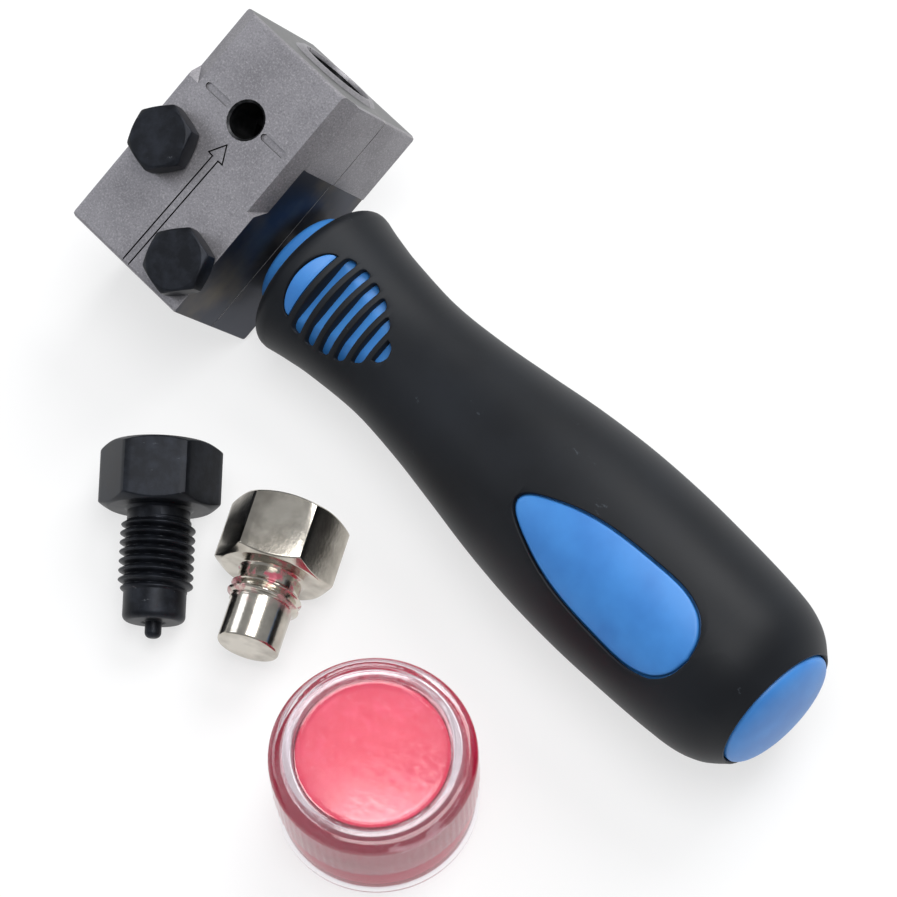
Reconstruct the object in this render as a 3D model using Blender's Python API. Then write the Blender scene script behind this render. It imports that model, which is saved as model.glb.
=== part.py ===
# Hand flaring tool for steel brake pipe, lying beside its punch, stop screw and grease pot.
# Lengths are in metres. In the tool's own frame the origin lies on the bore axis, +X runs
# along the handle, +Y towards the punch end of the bore and +Z out of the front face.

import math

import bmesh
import bpy
from mathutils import Matrix, Vector

# Fits shared by all pieces
FIT_GAP = 0.0003
OVERRUN = 0.002
FUSE_DEPTH = 0.0004

# Steps round a full circle, and the angle that still shades smooth
GRIP_STEPS = 36
FINE_STEPS = 32
MEDIUM_STEPS = 24
SMALL_STEPS = 16
ROUND_STEPS = 3
CORNER_STEPS = 2
CAP_STEPS = 5
SMOOTH_ANGLE = math.radians(32)

# Split block: two cast steel jaws that meet on the bore axis
BLOCK_LENGTH = 0.058
BLOCK_WIDTH = 0.0335
BORE_OFF_CENTRE = 0.001
FRONT_JAW_DEPTH = 0.0195
REAR_JAW_DEPTH = 0.0175
CAST_EDGE_RADIUS = 0.0009
CAST_PAD_HEIGHT = 0.0005
MILLED_LENGTH = 0.0404

# Slanted facets along the two long front edges, towards the punch end
NEAR_FACET_LENGTH = 0.0318
NEAR_FACET_FACE_WIDTH = 0.0024
NEAR_FACET_SIDE_DEPTH = 0.0053
FAR_FACET_LENGTH = 0.019
FAR_FACET_FACE_WIDTH = 0.0035
FAR_FACET_SIDE_DEPTH = 0.0028
FACET_RUN_OUT = 0.003

# Bore: pipe hole with grip teeth, flare seat, punch chamber, thread and mouth
PIPE_DIAMETER = 0.00475
PIPE_ENTRY_CHAMFER = 0.0008
TOOTH_DEPTH = 0.0002
TOOTH_PITCH = 0.0016
FIRST_TOOTH_INSET = 0.004
PLAIN_PIPE_LENGTH = 0.0082
SEAT_DIAMETER = 0.0072
CHAMBER_DIAMETER = 0.0138
THREAD_DIAMETER = 0.016
THREAD_RELIEF = 0.0014
MOUTH_DIAMETER = 0.0175
MOUTH_DEPTH = 0.0008
BOSS_DIAMETER = 0.022
BOSS_FACE_DIAMETER = 0.0196
BOSS_HEIGHT = 0.0008

# Sight hole over the pipe end, with an index groove on either side of it
SIGHT_INSET = 0.0178
SIGHT_DIAMETER = 0.008
SIGHT_RIM_DIAMETER = 0.0091
SIGHT_RIM_DEPTH = 0.0004
INDEX_START = 0.0049
INDEX_LENGTH = 0.0078
INDEX_WIDTH = 0.0016
INDEX_DEPTH = 0.0005

# Clamp bolts, through the front jaw into the rear jaw
BOLT_DIAMETER = 0.008
BOLT_LENGTH = 0.030
BOLT_FLATS = 0.0134
BOLT_HEAD_HEIGHT = 0.0053
BOLT_TIP_CHAMFER = 0.0008
BOLT_HOLE_RUN_OUT = 0.002
BOLT_HALF_SPACING = 0.0106
UPPER_BOLT_PLACE = -0.0034
LOWER_BOLT_INSET = 0.009
BOLT_TURN = math.radians(47.5)

# Dowel pins that line up the two jaws
DOWEL_DIAMETER = 0.004
DOWEL_LENGTH = 0.014
DOWEL_END_CHAMFER = 0.0004
DOWEL_HALF_SPACING = 0.011
UPPER_DOWEL_PLACE = 0.0035
LOWER_DOWEL_INSET = 0.008

# Handle shank: a steel rod screwed into the rear jaw
HANDLE_DROP_SHARE = 0.214
SHANK_DIAMETER = 0.010
SHANK_THREAD_LENGTH = 0.0148
SHANK_HANDLE_LENGTH = 0.090
SHANK_END_CHAMFER = 0.001
ANCHOR_GROOVE_DEPTH = 0.0012
ANCHOR_GROOVE_WIDTH = 0.003
ANCHOR_GROOVE_COUNT = 3
ANCHOR_GROOVE_PITCH = 0.008

# Moulded handle: hard core, rubber grip over it
COLLAR_STANDOFF = 0.002
COLLAR_DIAMETER = 0.024
COLLAR_EDGE = 0.0008
GRIP_STANDOFF = 0.0068
GRIP_LENGTH = 0.1408
BULB_RADIUS = 0.0223
RUBBER_WALL = 0.0016
FRONT_WALL = 0.003
CAP_RADIUS = 0.0141
CAP_HEIGHT = 0.0038
GRIP_OUTLINE_STEPS = 2
LIP_SHARE = 0.33

# Share of the grip's length from its front, share of the bulb's radius
GRIP_OUTLINE_SHARES = (
    (0.0, 0.703),
    (0.003, 0.790),
    (0.012, 0.838),
    (0.023, 0.844),
    (0.037, 0.825),
    (0.060, 0.796),
    (0.110, 0.748),
    (0.205, 0.707),
    (0.300, 0.749),
    (0.395, 0.831),
    (0.490, 0.919),
    (0.590, 0.980),
    (0.690, 1.000),
    (0.780, 0.987),
    (0.870, 0.958),
    (0.930, 0.915),
    (0.970, 0.824),
    (1.0, 0.676),
)

# Grip slots: bars clipped by an egg-shaped outline, over a flat bed on the core, whose pad
# fills the first half moon
SLOT_COUNT = 7
SLOT_WIDTH = 0.0025
SLOT_PITCH = 0.00392
FIRST_SLOT_PLACE = 0.0138
SLOT_SIDE_SHIFT = -0.0003
SLOT_HALF_SPAN = 0.0101
SLOT_CORNER_SHARE = 0.62
FIRST_MOON_BULGE_SHARE = 1.6
LAST_MOON_BULGE_SHARE = 1.0
BED_DEPTH = 0.0028
BED_MARGIN = 0.003
PAD_RECESS = 0.0003
PAD_GROOVE = 0.0004

# Half lengths of the slots in turn, as shares of the longest
SLOT_SPAN_SHARES = (0.84, 0.98, 1.0, 0.93, 0.80, 0.56, 0.27)

# Teardrop window in the grip, with the core's panel showing through
TEARDROP_START = 0.0825
TEARDROP_LENGTH = 0.0508
TEARDROP_HALF_WIDTH = 0.0105
TEARDROP_SIDE_SHIFT = -0.0023
TEARDROP_OUTLINE_STEPS = 3
PANEL_RECESS = 0.0005
PANEL_GROOVE = 0.0005

# Share of the teardrop's length from its tip, share of its half width
TEARDROP_OUTLINE_SHARES = (
    (0.0, 0.0),
    (0.010, 0.14),
    (0.045, 0.30),
    (0.125, 0.50),
    (0.250, 0.735),
    (0.400, 0.90),
    (0.600, 0.985),
    (0.780, 1.0),
    (0.890, 0.86),
    (0.950, 0.64),
    (0.985, 0.36),
    (1.0, 0.0),
)

# Punch: hexagon head, neck, thread, plain nose and pilot
PUNCH_FLATS = 0.023
PUNCH_CORNERS = 0.0262
PUNCH_HEAD_HEIGHT = 0.0138
PUNCH_NECK_DIAMETER = 0.0134
PUNCH_NECK_LENGTH = 0.0024
PUNCH_THREAD_LENGTH = 0.0158
PUNCH_NOSE_DIAMETER = 0.0135
PUNCH_NOSE_LENGTH = 0.0062
PUNCH_NOSE_FILLET = 0.0014
PILOT_DIAMETER = 0.0036
PILOT_LENGTH = 0.0034
PILOT_FILLET = 0.0012

# Stop screw: the same head and thread size, with a long flat-ended nose
STOP_HEAD_HEIGHT = 0.0149
STOP_NECK_DIAMETER = 0.0136
STOP_NECK_LENGTH = 0.003
STOP_THREAD_LENGTH = 0.0044
STOP_NOSE_DIAMETER = 0.0134
STOP_NOSE_LENGTH = 0.0095
STOP_NOSE_FILLET = 0.0006
THREAD_END_TAPER = 0.001

# Head chamfer: flat face diameter as a share of the flats, and its slope
HEAD_FACE_SHARE = 0.95
HEAD_CHAMFER_SLOPE = math.tan(math.radians(30))

# Grease pot: clear jar, clear screw lid, grease inside
POT_HEIGHT = 0.0272
JAR_FOOT_DIAMETER = 0.0424
JAR_BODY_DIAMETER = 0.0412
JAR_FOOT_HEIGHT = 0.0026
JAR_SHOULDER_HEIGHT = 0.0122
JAR_THREAD_DEPTH = 0.001
JAR_WALL = 0.0019
JAR_FLOOR = 0.0022
JAR_EDGE = 0.0006
LID_DIAMETER = 0.043
LID_WALL = 0.0018
LID_TOP = 0.0014
LID_SHOULDER = 0.0022
LID_RING_DIAMETER = 0.0372
LID_RING_WIDTH = 0.0022
LID_RING_HEIGHT = 0.0007
GREASE_HEIGHT = 0.021
GREASE_CROWN = 0.0006

# Where the loose pieces lie, from the tool's bore axis point on the floor
PUNCH_PLACE = (0.0385, -0.0613)
PUNCH_HEADING = math.radians(-45.0)
STOP_PLACE = (0.0665, -0.0543)
STOP_HEADING = math.radians(-59.2)
POT_PLACE = (0.1151, -0.0687)

# Material colours, roughness and metallic value
CAST_STEEL = ("cast_steel", (0.20, 0.20, 0.205, 1.0), 0.55, 0.85)
BLACK_OXIDE = ("black_oxide_steel", (0.018, 0.019, 0.022, 1.0), 0.45, 0.7)
BARE_STEEL = ("bare_steel", (0.42, 0.42, 0.43, 1.0), 0.35, 1.0)
NICKEL_PLATE = ("nickel_plate", (0.62, 0.60, 0.56, 1.0), 0.2, 1.0)
BLUE_PLASTIC = ("blue_polypropylene", (0.055, 0.25, 0.63, 1.0), 0.45, 0.0)
BLACK_RUBBER = ("black_grip_rubber", (0.016, 0.018, 0.022, 1.0), 0.6, 0.0)
CLEAR_PLASTIC = ("clear_polystyrene", (0.86, 0.84, 0.86, 1.0), 0.1, 0.0)
PINK_GREASE = ("pink_grease", (0.65, 0.02, 0.09, 1.0), 0.4, 0.0)

# Sizes that follow from the ones above
HALF_LENGTH = BLOCK_LENGTH / 2
NEAR_SIDE = BLOCK_WIDTH / 2 - BORE_OFF_CENTRE
FAR_SIDE = -BLOCK_WIDTH / 2 - BORE_OFF_CENTRE
CAST_SIDE = NEAR_SIDE + CAST_PAD_HEIGHT
MILLED_END = MILLED_LENGTH - HALF_LENGTH
BOSS_FACE = HALF_LENGTH + BOSS_HEIGHT
HANDLE_DEPTH = -REAR_JAW_DEPTH / 2
HANDLE_PLACE = -HALF_LENGTH * HANDLE_DROP_SHARE
SIGHT_PLACE = HALF_LENGTH - SIGHT_INSET
LOWER_BOLT_PLACE = LOWER_BOLT_INSET - HALF_LENGTH
LOWER_DOWEL_PLACE = LOWER_DOWEL_INSET - HALF_LENGTH
PUNCH_REACH = PUNCH_NECK_LENGTH + PUNCH_THREAD_LENGTH + PUNCH_NOSE_LENGTH
SEAT_FACE = BOSS_FACE - PUNCH_REACH - FIT_GAP
THREAD_END = BOSS_FACE - PUNCH_NECK_LENGTH - PUNCH_THREAD_LENGTH - FIT_GAP
JAR_NECK_RADIUS = LID_DIAMETER / 2 - LID_WALL - FIT_GAP - JAR_THREAD_DEPTH
JAR_INNER_RADIUS = JAR_NECK_RADIUS - JAR_WALL


def clear_scene():
    for item in list(bpy.data.objects):
        bpy.data.objects.remove(item, do_unlink=True)


def material(finish):
    name, colour, roughness, metallic = finish
    found = bpy.data.materials.get(name)
    if found:
        return found
    made = bpy.data.materials.new(name)
    made.use_nodes = True
    made.diffuse_color = colour
    shader = made.node_tree.nodes["Principled BSDF"]
    shader.inputs["Base Color"].default_value = colour
    shader.inputs["Roughness"].default_value = roughness
    shader.inputs["Metallic"].default_value = metallic
    return made


def add_object(name, mesh):
    item = bpy.data.objects.new(name, mesh)
    bpy.context.collection.objects.link(item)
    return item


def add_empty(name):
    item = bpy.data.objects.new(name, None)
    bpy.context.collection.objects.link(item)
    return item


def mesh_from(name, bm):
    bmesh.ops.recalc_face_normals(bm, faces=bm.faces)
    mesh = bpy.data.meshes.new(name)
    bm.to_mesh(mesh)
    bm.free()
    return mesh


def turned(name, outline, steps):
    # Solid of revolution about Z from (height, radius) points, bottom to top
    bm = bmesh.new()
    rings = []
    for height, radius in outline:
        ring = []
        for step in range(steps):
            angle = 2 * math.pi * step / steps
            ring.append(bm.verts.new((radius * math.cos(angle), radius * math.sin(angle), height)))
        rings.append(ring)
    for lower, upper in zip(rings, rings[1:]):
        for step in range(steps):
            following = (step + 1) % steps
            bm.faces.new((lower[step], lower[following], upper[following], upper[step]))
    bm.faces.new(rings[0])
    bm.faces.new(rings[-1])
    return add_object(name, mesh_from(name, bm))


def extruded(name, outline, bottom, top):
    # Prism along Z over a plan outline of (x, y) points
    bm = bmesh.new()
    lower = [bm.verts.new((x, y, bottom)) for x, y in outline]
    upper = [bm.verts.new((x, y, top)) for x, y in outline]
    count = len(outline)
    for index in range(count):
        following = (index + 1) % count
        bm.faces.new((lower[index], lower[following], upper[following], upper[index]))
    bm.faces.new(lower)
    bm.faces.new(upper)
    return add_object(name, mesh_from(name, bm))


def box(name, low, high):
    outline = ((low[0], low[1]), (high[0], low[1]), (high[0], high[1]), (low[0], high[1]))
    return extruded(name, outline, low[2], high[2])


def transform(item, matrix):
    item.data.transform(matrix)
    item.data.update()
    return item


def moved(item, x=0.0, y=0.0, z=0.0):
    return transform(item, Matrix.Translation((x, y, z)))


def lay_along_x(item):
    # Turns a piece built up Z so that its height runs along +X
    return transform(item, Matrix.Rotation(math.pi / 2, 4, "Y"))


def lay_along_y(item):
    # Turns a piece built up Z so that its height runs along +Y
    return transform(item, Matrix.Rotation(-math.pi / 2, 4, "X"))


def combine(target, other, operation):
    # Bakes one Boolean into the target's mesh and removes the other piece
    modifier = target.modifiers.new("combine", "BOOLEAN")
    modifier.operation = operation
    modifier.solver = "EXACT"
    modifier.object = other
    graph = bpy.context.evaluated_depsgraph_get()
    baked = bpy.data.meshes.new_from_object(target.evaluated_get(graph))
    target.modifiers.remove(modifier)
    baked.name = target.name
    target.data = baked
    bpy.data.objects.remove(other, do_unlink=True)
    return target


def cut(target, *cutters):
    for cutter in cutters:
        combine(target, cutter, "DIFFERENCE")
    return target


def fuse(target, *others):
    for other in others:
        combine(target, other, "UNION")
    return target


def keep_inside(target, other):
    return combine(target, other, "INTERSECT")


def finish(item, look, parent):
    item.data.materials.clear()
    item.data.materials.append(material(look))
    item.data.shade_smooth()
    item.data.set_sharp_from_angle(angle=SMOOTH_ANGLE)
    item.parent = parent
    return item


def smooth_path(points, steps):
    # Catmull-Rom curve through the points, with so many steps between neighbours
    path = []
    last = len(points) - 1
    for index in range(last):
        before = Vector(points[max(index - 1, 0)])
        start = Vector(points[index])
        end = Vector(points[index + 1])
        after = Vector(points[min(index + 2, last)])
        for step in range(steps):
            t = step / steps
            bend = (2 * before - 5 * start + 4 * end - after) * t * t
            twist = (3 * start - before - 3 * end + after) * t * t * t
            path.append(tuple((2 * start + (end - before) * t + bend + twist) / 2))
    path.append(tuple(points[last]))
    return path


def value_at(path, place):
    # Reads a path of (place, value) points at one place
    for (start, first), (end, second) in zip(path, path[1:]):
        if start <= place <= end and end > start:
            return first + (second - first) * (place - start) / (end - start)
    return path[-1][1] if place > path[-1][0] else path[0][1]


# Jaws

def facet_cutter(name, side, face_width, side_depth, length):
    # Slanted facet along a long front edge, running out towards the pipe end
    outward = 1 if side > 0 else -1
    start = HALF_LENGTH - length
    above = FRONT_JAW_DEPTH + OVERRUN
    outside = side + outward * OVERRUN
    lowest = FRONT_JAW_DEPTH - side_depth - OVERRUN * side_depth / face_width
    inmost = side - outward * (face_width + OVERRUN * face_width / side_depth)
    bm = bmesh.new()
    section = (
        (side - outward * face_width, FRONT_JAW_DEPTH),
        (side, FRONT_JAW_DEPTH - side_depth),
        (outside, lowest),
        (outside, above),
        (inmost, above),
    )
    slope = FACET_RUN_OUT / side_depth
    near = [bm.verts.new((x, start + (FRONT_JAW_DEPTH - z) * slope, z)) for x, z in section]
    far = [bm.verts.new((x, BOSS_FACE + OVERRUN, z)) for x, z in section]
    count = len(section)
    for index in range(count):
        following = (index + 1) % count
        bm.faces.new((near[index], near[following], far[following], far[index]))
    bm.faces.new(near)
    bm.faces.new(far)
    return add_object(name, mesh_from(name, bm))


def bore_outline():
    # (place along the bore, radius) from the pipe end to the punch end
    pipe_radius = PIPE_DIAMETER / 2
    seat_radius = SEAT_DIAMETER / 2
    thread_radius = THREAD_DIAMETER / 2 + FIT_GAP
    mouth_radius = MOUTH_DIAMETER / 2
    entry_radius = pipe_radius + PIPE_ENTRY_CHAMFER
    outline = [(-HALF_LENGTH - OVERRUN, entry_radius), (-HALF_LENGTH, entry_radius)]
    outline.append((-HALF_LENGTH + PIPE_ENTRY_CHAMFER, pipe_radius))
    first_tooth = -HALF_LENGTH + FIRST_TOOTH_INSET
    cone_start = SEAT_FACE - (seat_radius - pipe_radius)
    tooth_count = int((cone_start - PLAIN_PIPE_LENGTH - first_tooth) / TOOTH_PITCH)
    for index in range(tooth_count):
        start = first_tooth + index * TOOTH_PITCH
        outline.append((start, pipe_radius))
        outline.append((start + TOOTH_PITCH / 2, pipe_radius + TOOTH_DEPTH))
    outline.append((first_tooth + tooth_count * TOOTH_PITCH, pipe_radius))
    outline.append((cone_start, pipe_radius))
    outline.append((SEAT_FACE, seat_radius))
    outline.append((SEAT_FACE, CHAMBER_DIAMETER / 2))
    outline.append((THREAD_END - THREAD_RELIEF, CHAMBER_DIAMETER / 2))
    outline.append((THREAD_END, thread_radius))
    outline.append((BOSS_FACE - MOUTH_DEPTH, thread_radius))
    outline.append((BOSS_FACE, mouth_radius))
    outline.append((BOSS_FACE + OVERRUN, mouth_radius))
    return outline


def bore_cutter():
    return lay_along_y(turned("bore_cutter", bore_outline(), MEDIUM_STEPS))


def block_casting(name):
    low = (FAR_SIDE, -HALF_LENGTH, -REAR_JAW_DEPTH)
    high = (CAST_SIDE, HALF_LENGTH, FRONT_JAW_DEPTH)
    block = box(name, low, high)
    bm = bmesh.new()
    bm.from_mesh(block.data)
    bmesh.ops.bevel(
        bm, geom=list(bm.edges), offset=CAST_EDGE_RADIUS, segments=CORNER_STEPS,
        profile=0.5, affect="EDGES",
    )
    bm.to_mesh(block.data)
    bm.free()
    boss_outline = (
        (HALF_LENGTH - FUSE_DEPTH, BOSS_DIAMETER / 2),
        (HALF_LENGTH, BOSS_DIAMETER / 2),
        (BOSS_FACE, BOSS_FACE_DIAMETER / 2),
    )
    fuse(block, lay_along_y(turned("boss", boss_outline, MEDIUM_STEPS)))
    milled_low = (NEAR_SIDE, -HALF_LENGTH - OVERRUN, -REAR_JAW_DEPTH - OVERRUN)
    milled_high = (CAST_SIDE + OVERRUN, MILLED_END, FRONT_JAW_DEPTH + OVERRUN)
    cut(block, box("milling", milled_low, milled_high))
    near_facet = facet_cutter(
        "near_facet", CAST_SIDE, NEAR_FACET_FACE_WIDTH, NEAR_FACET_SIDE_DEPTH, NEAR_FACET_LENGTH)
    far_facet = facet_cutter(
        "far_facet", FAR_SIDE, FAR_FACET_FACE_WIDTH, FAR_FACET_SIDE_DEPTH, FAR_FACET_LENGTH)
    cut(block, near_facet, far_facet, bore_cutter())
    return block


def half_space(name, low_z, high_z):
    reach = BLOCK_LENGTH
    return box(name, (-reach, -reach, low_z), (reach, reach, high_z))


def straight_hole(diameter, place, low_z, high_z):
    radius = diameter / 2 + FIT_GAP
    hole = turned("hole", ((low_z, radius), (high_z, radius)), SMALL_STEPS)
    return moved(hole, place[0], place[1])


def bolt_places():
    return ((-BOLT_HALF_SPACING, UPPER_BOLT_PLACE), (BOLT_HALF_SPACING, LOWER_BOLT_PLACE))


def dowel_places():
    return ((DOWEL_HALF_SPACING, UPPER_DOWEL_PLACE), (-DOWEL_HALF_SPACING, LOWER_DOWEL_PLACE))


def index_groove(name, side):
    # Round-ended groove in the front face, across the arrow's direction
    radius = INDEX_WIDTH / 2
    start = INDEX_START + radius
    end = INDEX_START + INDEX_LENGTH - radius
    outline = []
    for centre, first_angle in ((end, -math.pi / 2), (start, math.pi / 2)):
        for step in range(ROUND_STEPS + 1):
            angle = first_angle + math.pi * step / ROUND_STEPS
            outline.append((centre + radius * math.cos(angle), radius * math.sin(angle)))
    groove = extruded(name, outline, FRONT_JAW_DEPTH - INDEX_DEPTH, FRONT_JAW_DEPTH + OVERRUN)
    if side < 0:
        transform(groove, Matrix.Rotation(math.pi, 4, "Z"))
    return moved(groove, 0.0, SIGHT_PLACE)


def sight_hole():
    radius = SIGHT_DIAMETER / 2
    rim_radius = SIGHT_RIM_DIAMETER / 2
    outline = (
        (0.0, radius),
        (FRONT_JAW_DEPTH - SIGHT_RIM_DEPTH, radius),
        (FRONT_JAW_DEPTH, rim_radius),
        (FRONT_JAW_DEPTH + OVERRUN, rim_radius),
    )
    return moved(turned("sight_hole", outline, MEDIUM_STEPS), 0.0, SIGHT_PLACE)


def make_front_jaw(frame):
    jaw = block_casting("front_jaw")
    cut(jaw, half_space("rear_space", -REAR_JAW_DEPTH - OVERRUN, FIT_GAP / 2))
    cut(jaw, sight_hole(), index_groove("near_groove", 1), index_groove("far_groove", -1))
    for place in bolt_places():
        cut(jaw, straight_hole(BOLT_DIAMETER, place, -OVERRUN, FRONT_JAW_DEPTH + OVERRUN))
    for place in dowel_places():
        cut(jaw, straight_hole(DOWEL_DIAMETER, place, -OVERRUN, DOWEL_LENGTH / 2 + FIT_GAP))
    return finish(jaw, CAST_STEEL, frame)


def make_rear_jaw(frame):
    jaw = block_casting("rear_jaw")
    cut(jaw, half_space("front_space", -FIT_GAP / 2, FRONT_JAW_DEPTH + OVERRUN))
    bolt_end = FRONT_JAW_DEPTH + FIT_GAP - BOLT_LENGTH
    for place in bolt_places():
        cut(jaw, straight_hole(BOLT_DIAMETER, place, bolt_end - BOLT_HOLE_RUN_OUT, OVERRUN))
    for place in dowel_places():
        cut(jaw, straight_hole(DOWEL_DIAMETER, place, -DOWEL_LENGTH / 2 - FIT_GAP, OVERRUN))
    shank_radius = SHANK_DIAMETER / 2 + FIT_GAP
    hole_end = NEAR_SIDE - SHANK_THREAD_LENGTH - FIT_GAP
    hole_outline = ((hole_end, shank_radius), (CAST_SIDE + OVERRUN, shank_radius))
    shank_hole = lay_along_x(turned("shank_hole", hole_outline, MEDIUM_STEPS))
    cut(jaw, moved(shank_hole, 0.0, HANDLE_PLACE, HANDLE_DEPTH))
    return finish(jaw, CAST_STEEL, frame)


# Fasteners

def hexagon_head(name, flats, corners, height):
    # Hexagon prism trimmed by a turned form that chamfers both rims
    points = []
    for step in range(6):
        angle = math.pi / 3 * step + math.pi / 6
        reach = flats / math.sqrt(3)
        points.append((reach * math.cos(angle), reach * math.sin(angle)))
    head = extruded(name, points, 0.0, height)
    face = flats / 2 * HEAD_FACE_SHARE
    rim = corners / 2
    slope = (rim - face) * HEAD_CHAMFER_SLOPE
    outline = ((0.0, face), (slope, rim), (height - slope, rim), (height, face))
    return keep_inside(head, turned("head_form", outline, FINE_STEPS))


def fillet_end(end, radius, size, steps):
    # Points of a rounded end, from its tip inwards, for an outline that runs down Z
    points = []
    for step in range(steps + 1):
        angle = math.pi / 2 * step / steps
        points.append((end + size * (1 - math.sin(angle)), radius - size * (1 - math.cos(angle))))
    return points[::-1]


def hexagon_screw(name, flats, corners, head_height, shank_outline, steps):
    # Head above Z = 0 and shank below it, both on the Z axis
    head = hexagon_head(name, flats, corners, head_height)
    root = (FUSE_DEPTH, shank_outline[-1][1])
    return fuse(head, turned("shank", list(shank_outline) + [root], steps))


def make_clamp_bolt(name, place, frame):
    radius = BOLT_DIAMETER / 2
    outline = (
        (-BOLT_LENGTH, radius - BOLT_TIP_CHAMFER),
        (-BOLT_LENGTH + BOLT_TIP_CHAMFER, radius),
        (0.0, radius),
    )
    corners = BOLT_FLATS * PUNCH_CORNERS / PUNCH_FLATS
    bolt = hexagon_screw(name, BOLT_FLATS, corners, BOLT_HEAD_HEIGHT, outline, SMALL_STEPS)
    transform(bolt, Matrix.Rotation(BOLT_TURN + math.pi / 6, 4, "Z"))
    bolt.location = (place[0], place[1], FRONT_JAW_DEPTH + FIT_GAP)
    return finish(bolt, BLACK_OXIDE, frame)


def make_dowel_pin(name, place, frame):
    radius = DOWEL_DIAMETER / 2
    half = DOWEL_LENGTH / 2
    outline = (
        (-half, radius - DOWEL_END_CHAMFER),
        (-half + DOWEL_END_CHAMFER, radius),
        (half - DOWEL_END_CHAMFER, radius),
        (half, radius - DOWEL_END_CHAMFER),
    )
    pin = turned(name, outline, SMALL_STEPS)
    pin.location = (place[0], place[1], 0.0)
    return finish(pin, BARE_STEEL, frame)


def make_punch(frame):
    thread_radius = THREAD_DIAMETER / 2
    neck_radius = PUNCH_NECK_DIAMETER / 2
    nose_radius = PUNCH_NOSE_DIAMETER / 2
    pilot_radius = PILOT_DIAMETER / 2
    thread_end = -PUNCH_NECK_LENGTH - PUNCH_THREAD_LENGTH
    outline = fillet_end(-PUNCH_REACH - PILOT_LENGTH, pilot_radius, PILOT_FILLET, ROUND_STEPS)
    outline.append((-PUNCH_REACH, pilot_radius))
    outline += fillet_end(-PUNCH_REACH, nose_radius, PUNCH_NOSE_FILLET, ROUND_STEPS)
    outline.append((thread_end, nose_radius))
    outline.append((thread_end + THREAD_END_TAPER, thread_radius))
    outline.append((-PUNCH_NECK_LENGTH - THREAD_END_TAPER, thread_radius))
    outline.append((-PUNCH_NECK_LENGTH, neck_radius))
    outline.append((0.0, neck_radius))
    punch = hexagon_screw(
        "forming_punch", PUNCH_FLATS, PUNCH_CORNERS, PUNCH_HEAD_HEIGHT, outline, MEDIUM_STEPS)
    return finish(punch, BLACK_OXIDE, frame)


def make_stop_screw(frame):
    thread_radius = THREAD_DIAMETER / 2
    neck_radius = STOP_NECK_DIAMETER / 2
    nose_radius = STOP_NOSE_DIAMETER / 2
    thread_end = -STOP_NECK_LENGTH - STOP_THREAD_LENGTH
    tip = thread_end - STOP_NOSE_LENGTH
    outline = fillet_end(tip, nose_radius, STOP_NOSE_FILLET, ROUND_STEPS)
    outline.append((thread_end, nose_radius))
    outline.append((thread_end + THREAD_END_TAPER, thread_radius))
    outline.append((-STOP_NECK_LENGTH - THREAD_END_TAPER, thread_radius))
    outline.append((-STOP_NECK_LENGTH, neck_radius))
    outline.append((0.0, neck_radius))
    stop = hexagon_screw(
        "stop_screw", PUNCH_FLATS, PUNCH_CORNERS, STOP_HEAD_HEIGHT, outline, MEDIUM_STEPS)
    return finish(stop, NICKEL_PLATE, frame)


# Handle

def grip_outline(steps):
    # (distance from the milled side of the block, radius) along the rubber's outside
    points = []
    for length_share, radius_share in GRIP_OUTLINE_SHARES:
        points.append((GRIP_STANDOFF + GRIP_LENGTH * length_share, BULB_RADIUS * radius_share))
    return smooth_path(points, steps)


def core_outline(clearance):
    # Outside of the hard core under the rubber, grown by a clearance
    outer = grip_outline(1)
    collar_radius = COLLAR_DIAMETER / 2 + clearance
    front = COLLAR_STANDOFF - clearance
    shoulder = GRIP_STANDOFF + FRONT_WALL - clearance
    outline = [(front, collar_radius - COLLAR_EDGE), (front + COLLAR_EDGE, collar_radius)]
    outline.append((shoulder, collar_radius))
    inset = RUBBER_WALL + FIT_GAP - clearance
    outline.append((shoulder, value_at(outer, shoulder) - inset))
    rim = GRIP_STANDOFF + GRIP_LENGTH
    for place, radius in outer:
        if shoulder + COLLAR_EDGE < place < rim:
            outline.append((place, radius - inset))
    outline.append((rim - COLLAR_EDGE, CAP_RADIUS + clearance))
    return outline


def cap_outline():
    # Domed butt of the core, from the grip's rim to its end
    rim = GRIP_STANDOFF + GRIP_LENGTH
    points = []
    for step in range(1, CAP_STEPS):
        angle = math.pi / 2 * step / CAP_STEPS
        points.append((rim + CAP_HEIGHT * math.sin(angle), CAP_RADIUS * math.cos(angle)))
    return [(rim, CAP_RADIUS)] + points


def on_handle_axis(item):
    return moved(lay_along_x(item), NEAR_SIDE, HANDLE_PLACE, HANDLE_DEPTH)


def bed_box(name, clearance, side):
    # Space over the flat bed under the grip slots, on one side of a form grown by the clearance
    start = NEAR_SIDE + FIRST_SLOT_PLACE - BED_MARGIN + clearance
    end = NEAR_SIDE + FIRST_SLOT_PLACE + (SLOT_COUNT - 1) * SLOT_PITCH + BED_MARGIN - clearance
    middle_slot = FIRST_SLOT_PLACE + (SLOT_COUNT // 2) * SLOT_PITCH
    bed = value_at(grip_outline(1), middle_slot) - BED_DEPTH + clearance
    low_z = HANDLE_DEPTH + bed if side > 0 else HANDLE_DEPTH - BULB_RADIUS - OVERRUN
    high_z = HANDLE_DEPTH + BULB_RADIUS + OVERRUN if side > 0 else HANDLE_DEPTH - bed
    low = (start, HANDLE_PLACE - BULB_RADIUS, low_z)
    return box(name, low, (end, HANDLE_PLACE + BULB_RADIUS, high_z))


def core_form(name, clearance, outline):
    form = on_handle_axis(turned(name, outline, GRIP_STEPS))
    return cut(form, bed_box("front_bed", clearance, 1), bed_box("back_bed", clearance, -1))


def about_handle(item, side):
    # Places a front-side piece on the handle, or turns it half round to the back
    if side < 0:
        transform(item, Matrix.Rotation(math.pi, 4, "X"))
    return moved(item, NEAR_SIDE, HANDLE_PLACE, HANDLE_DEPTH)


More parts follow.
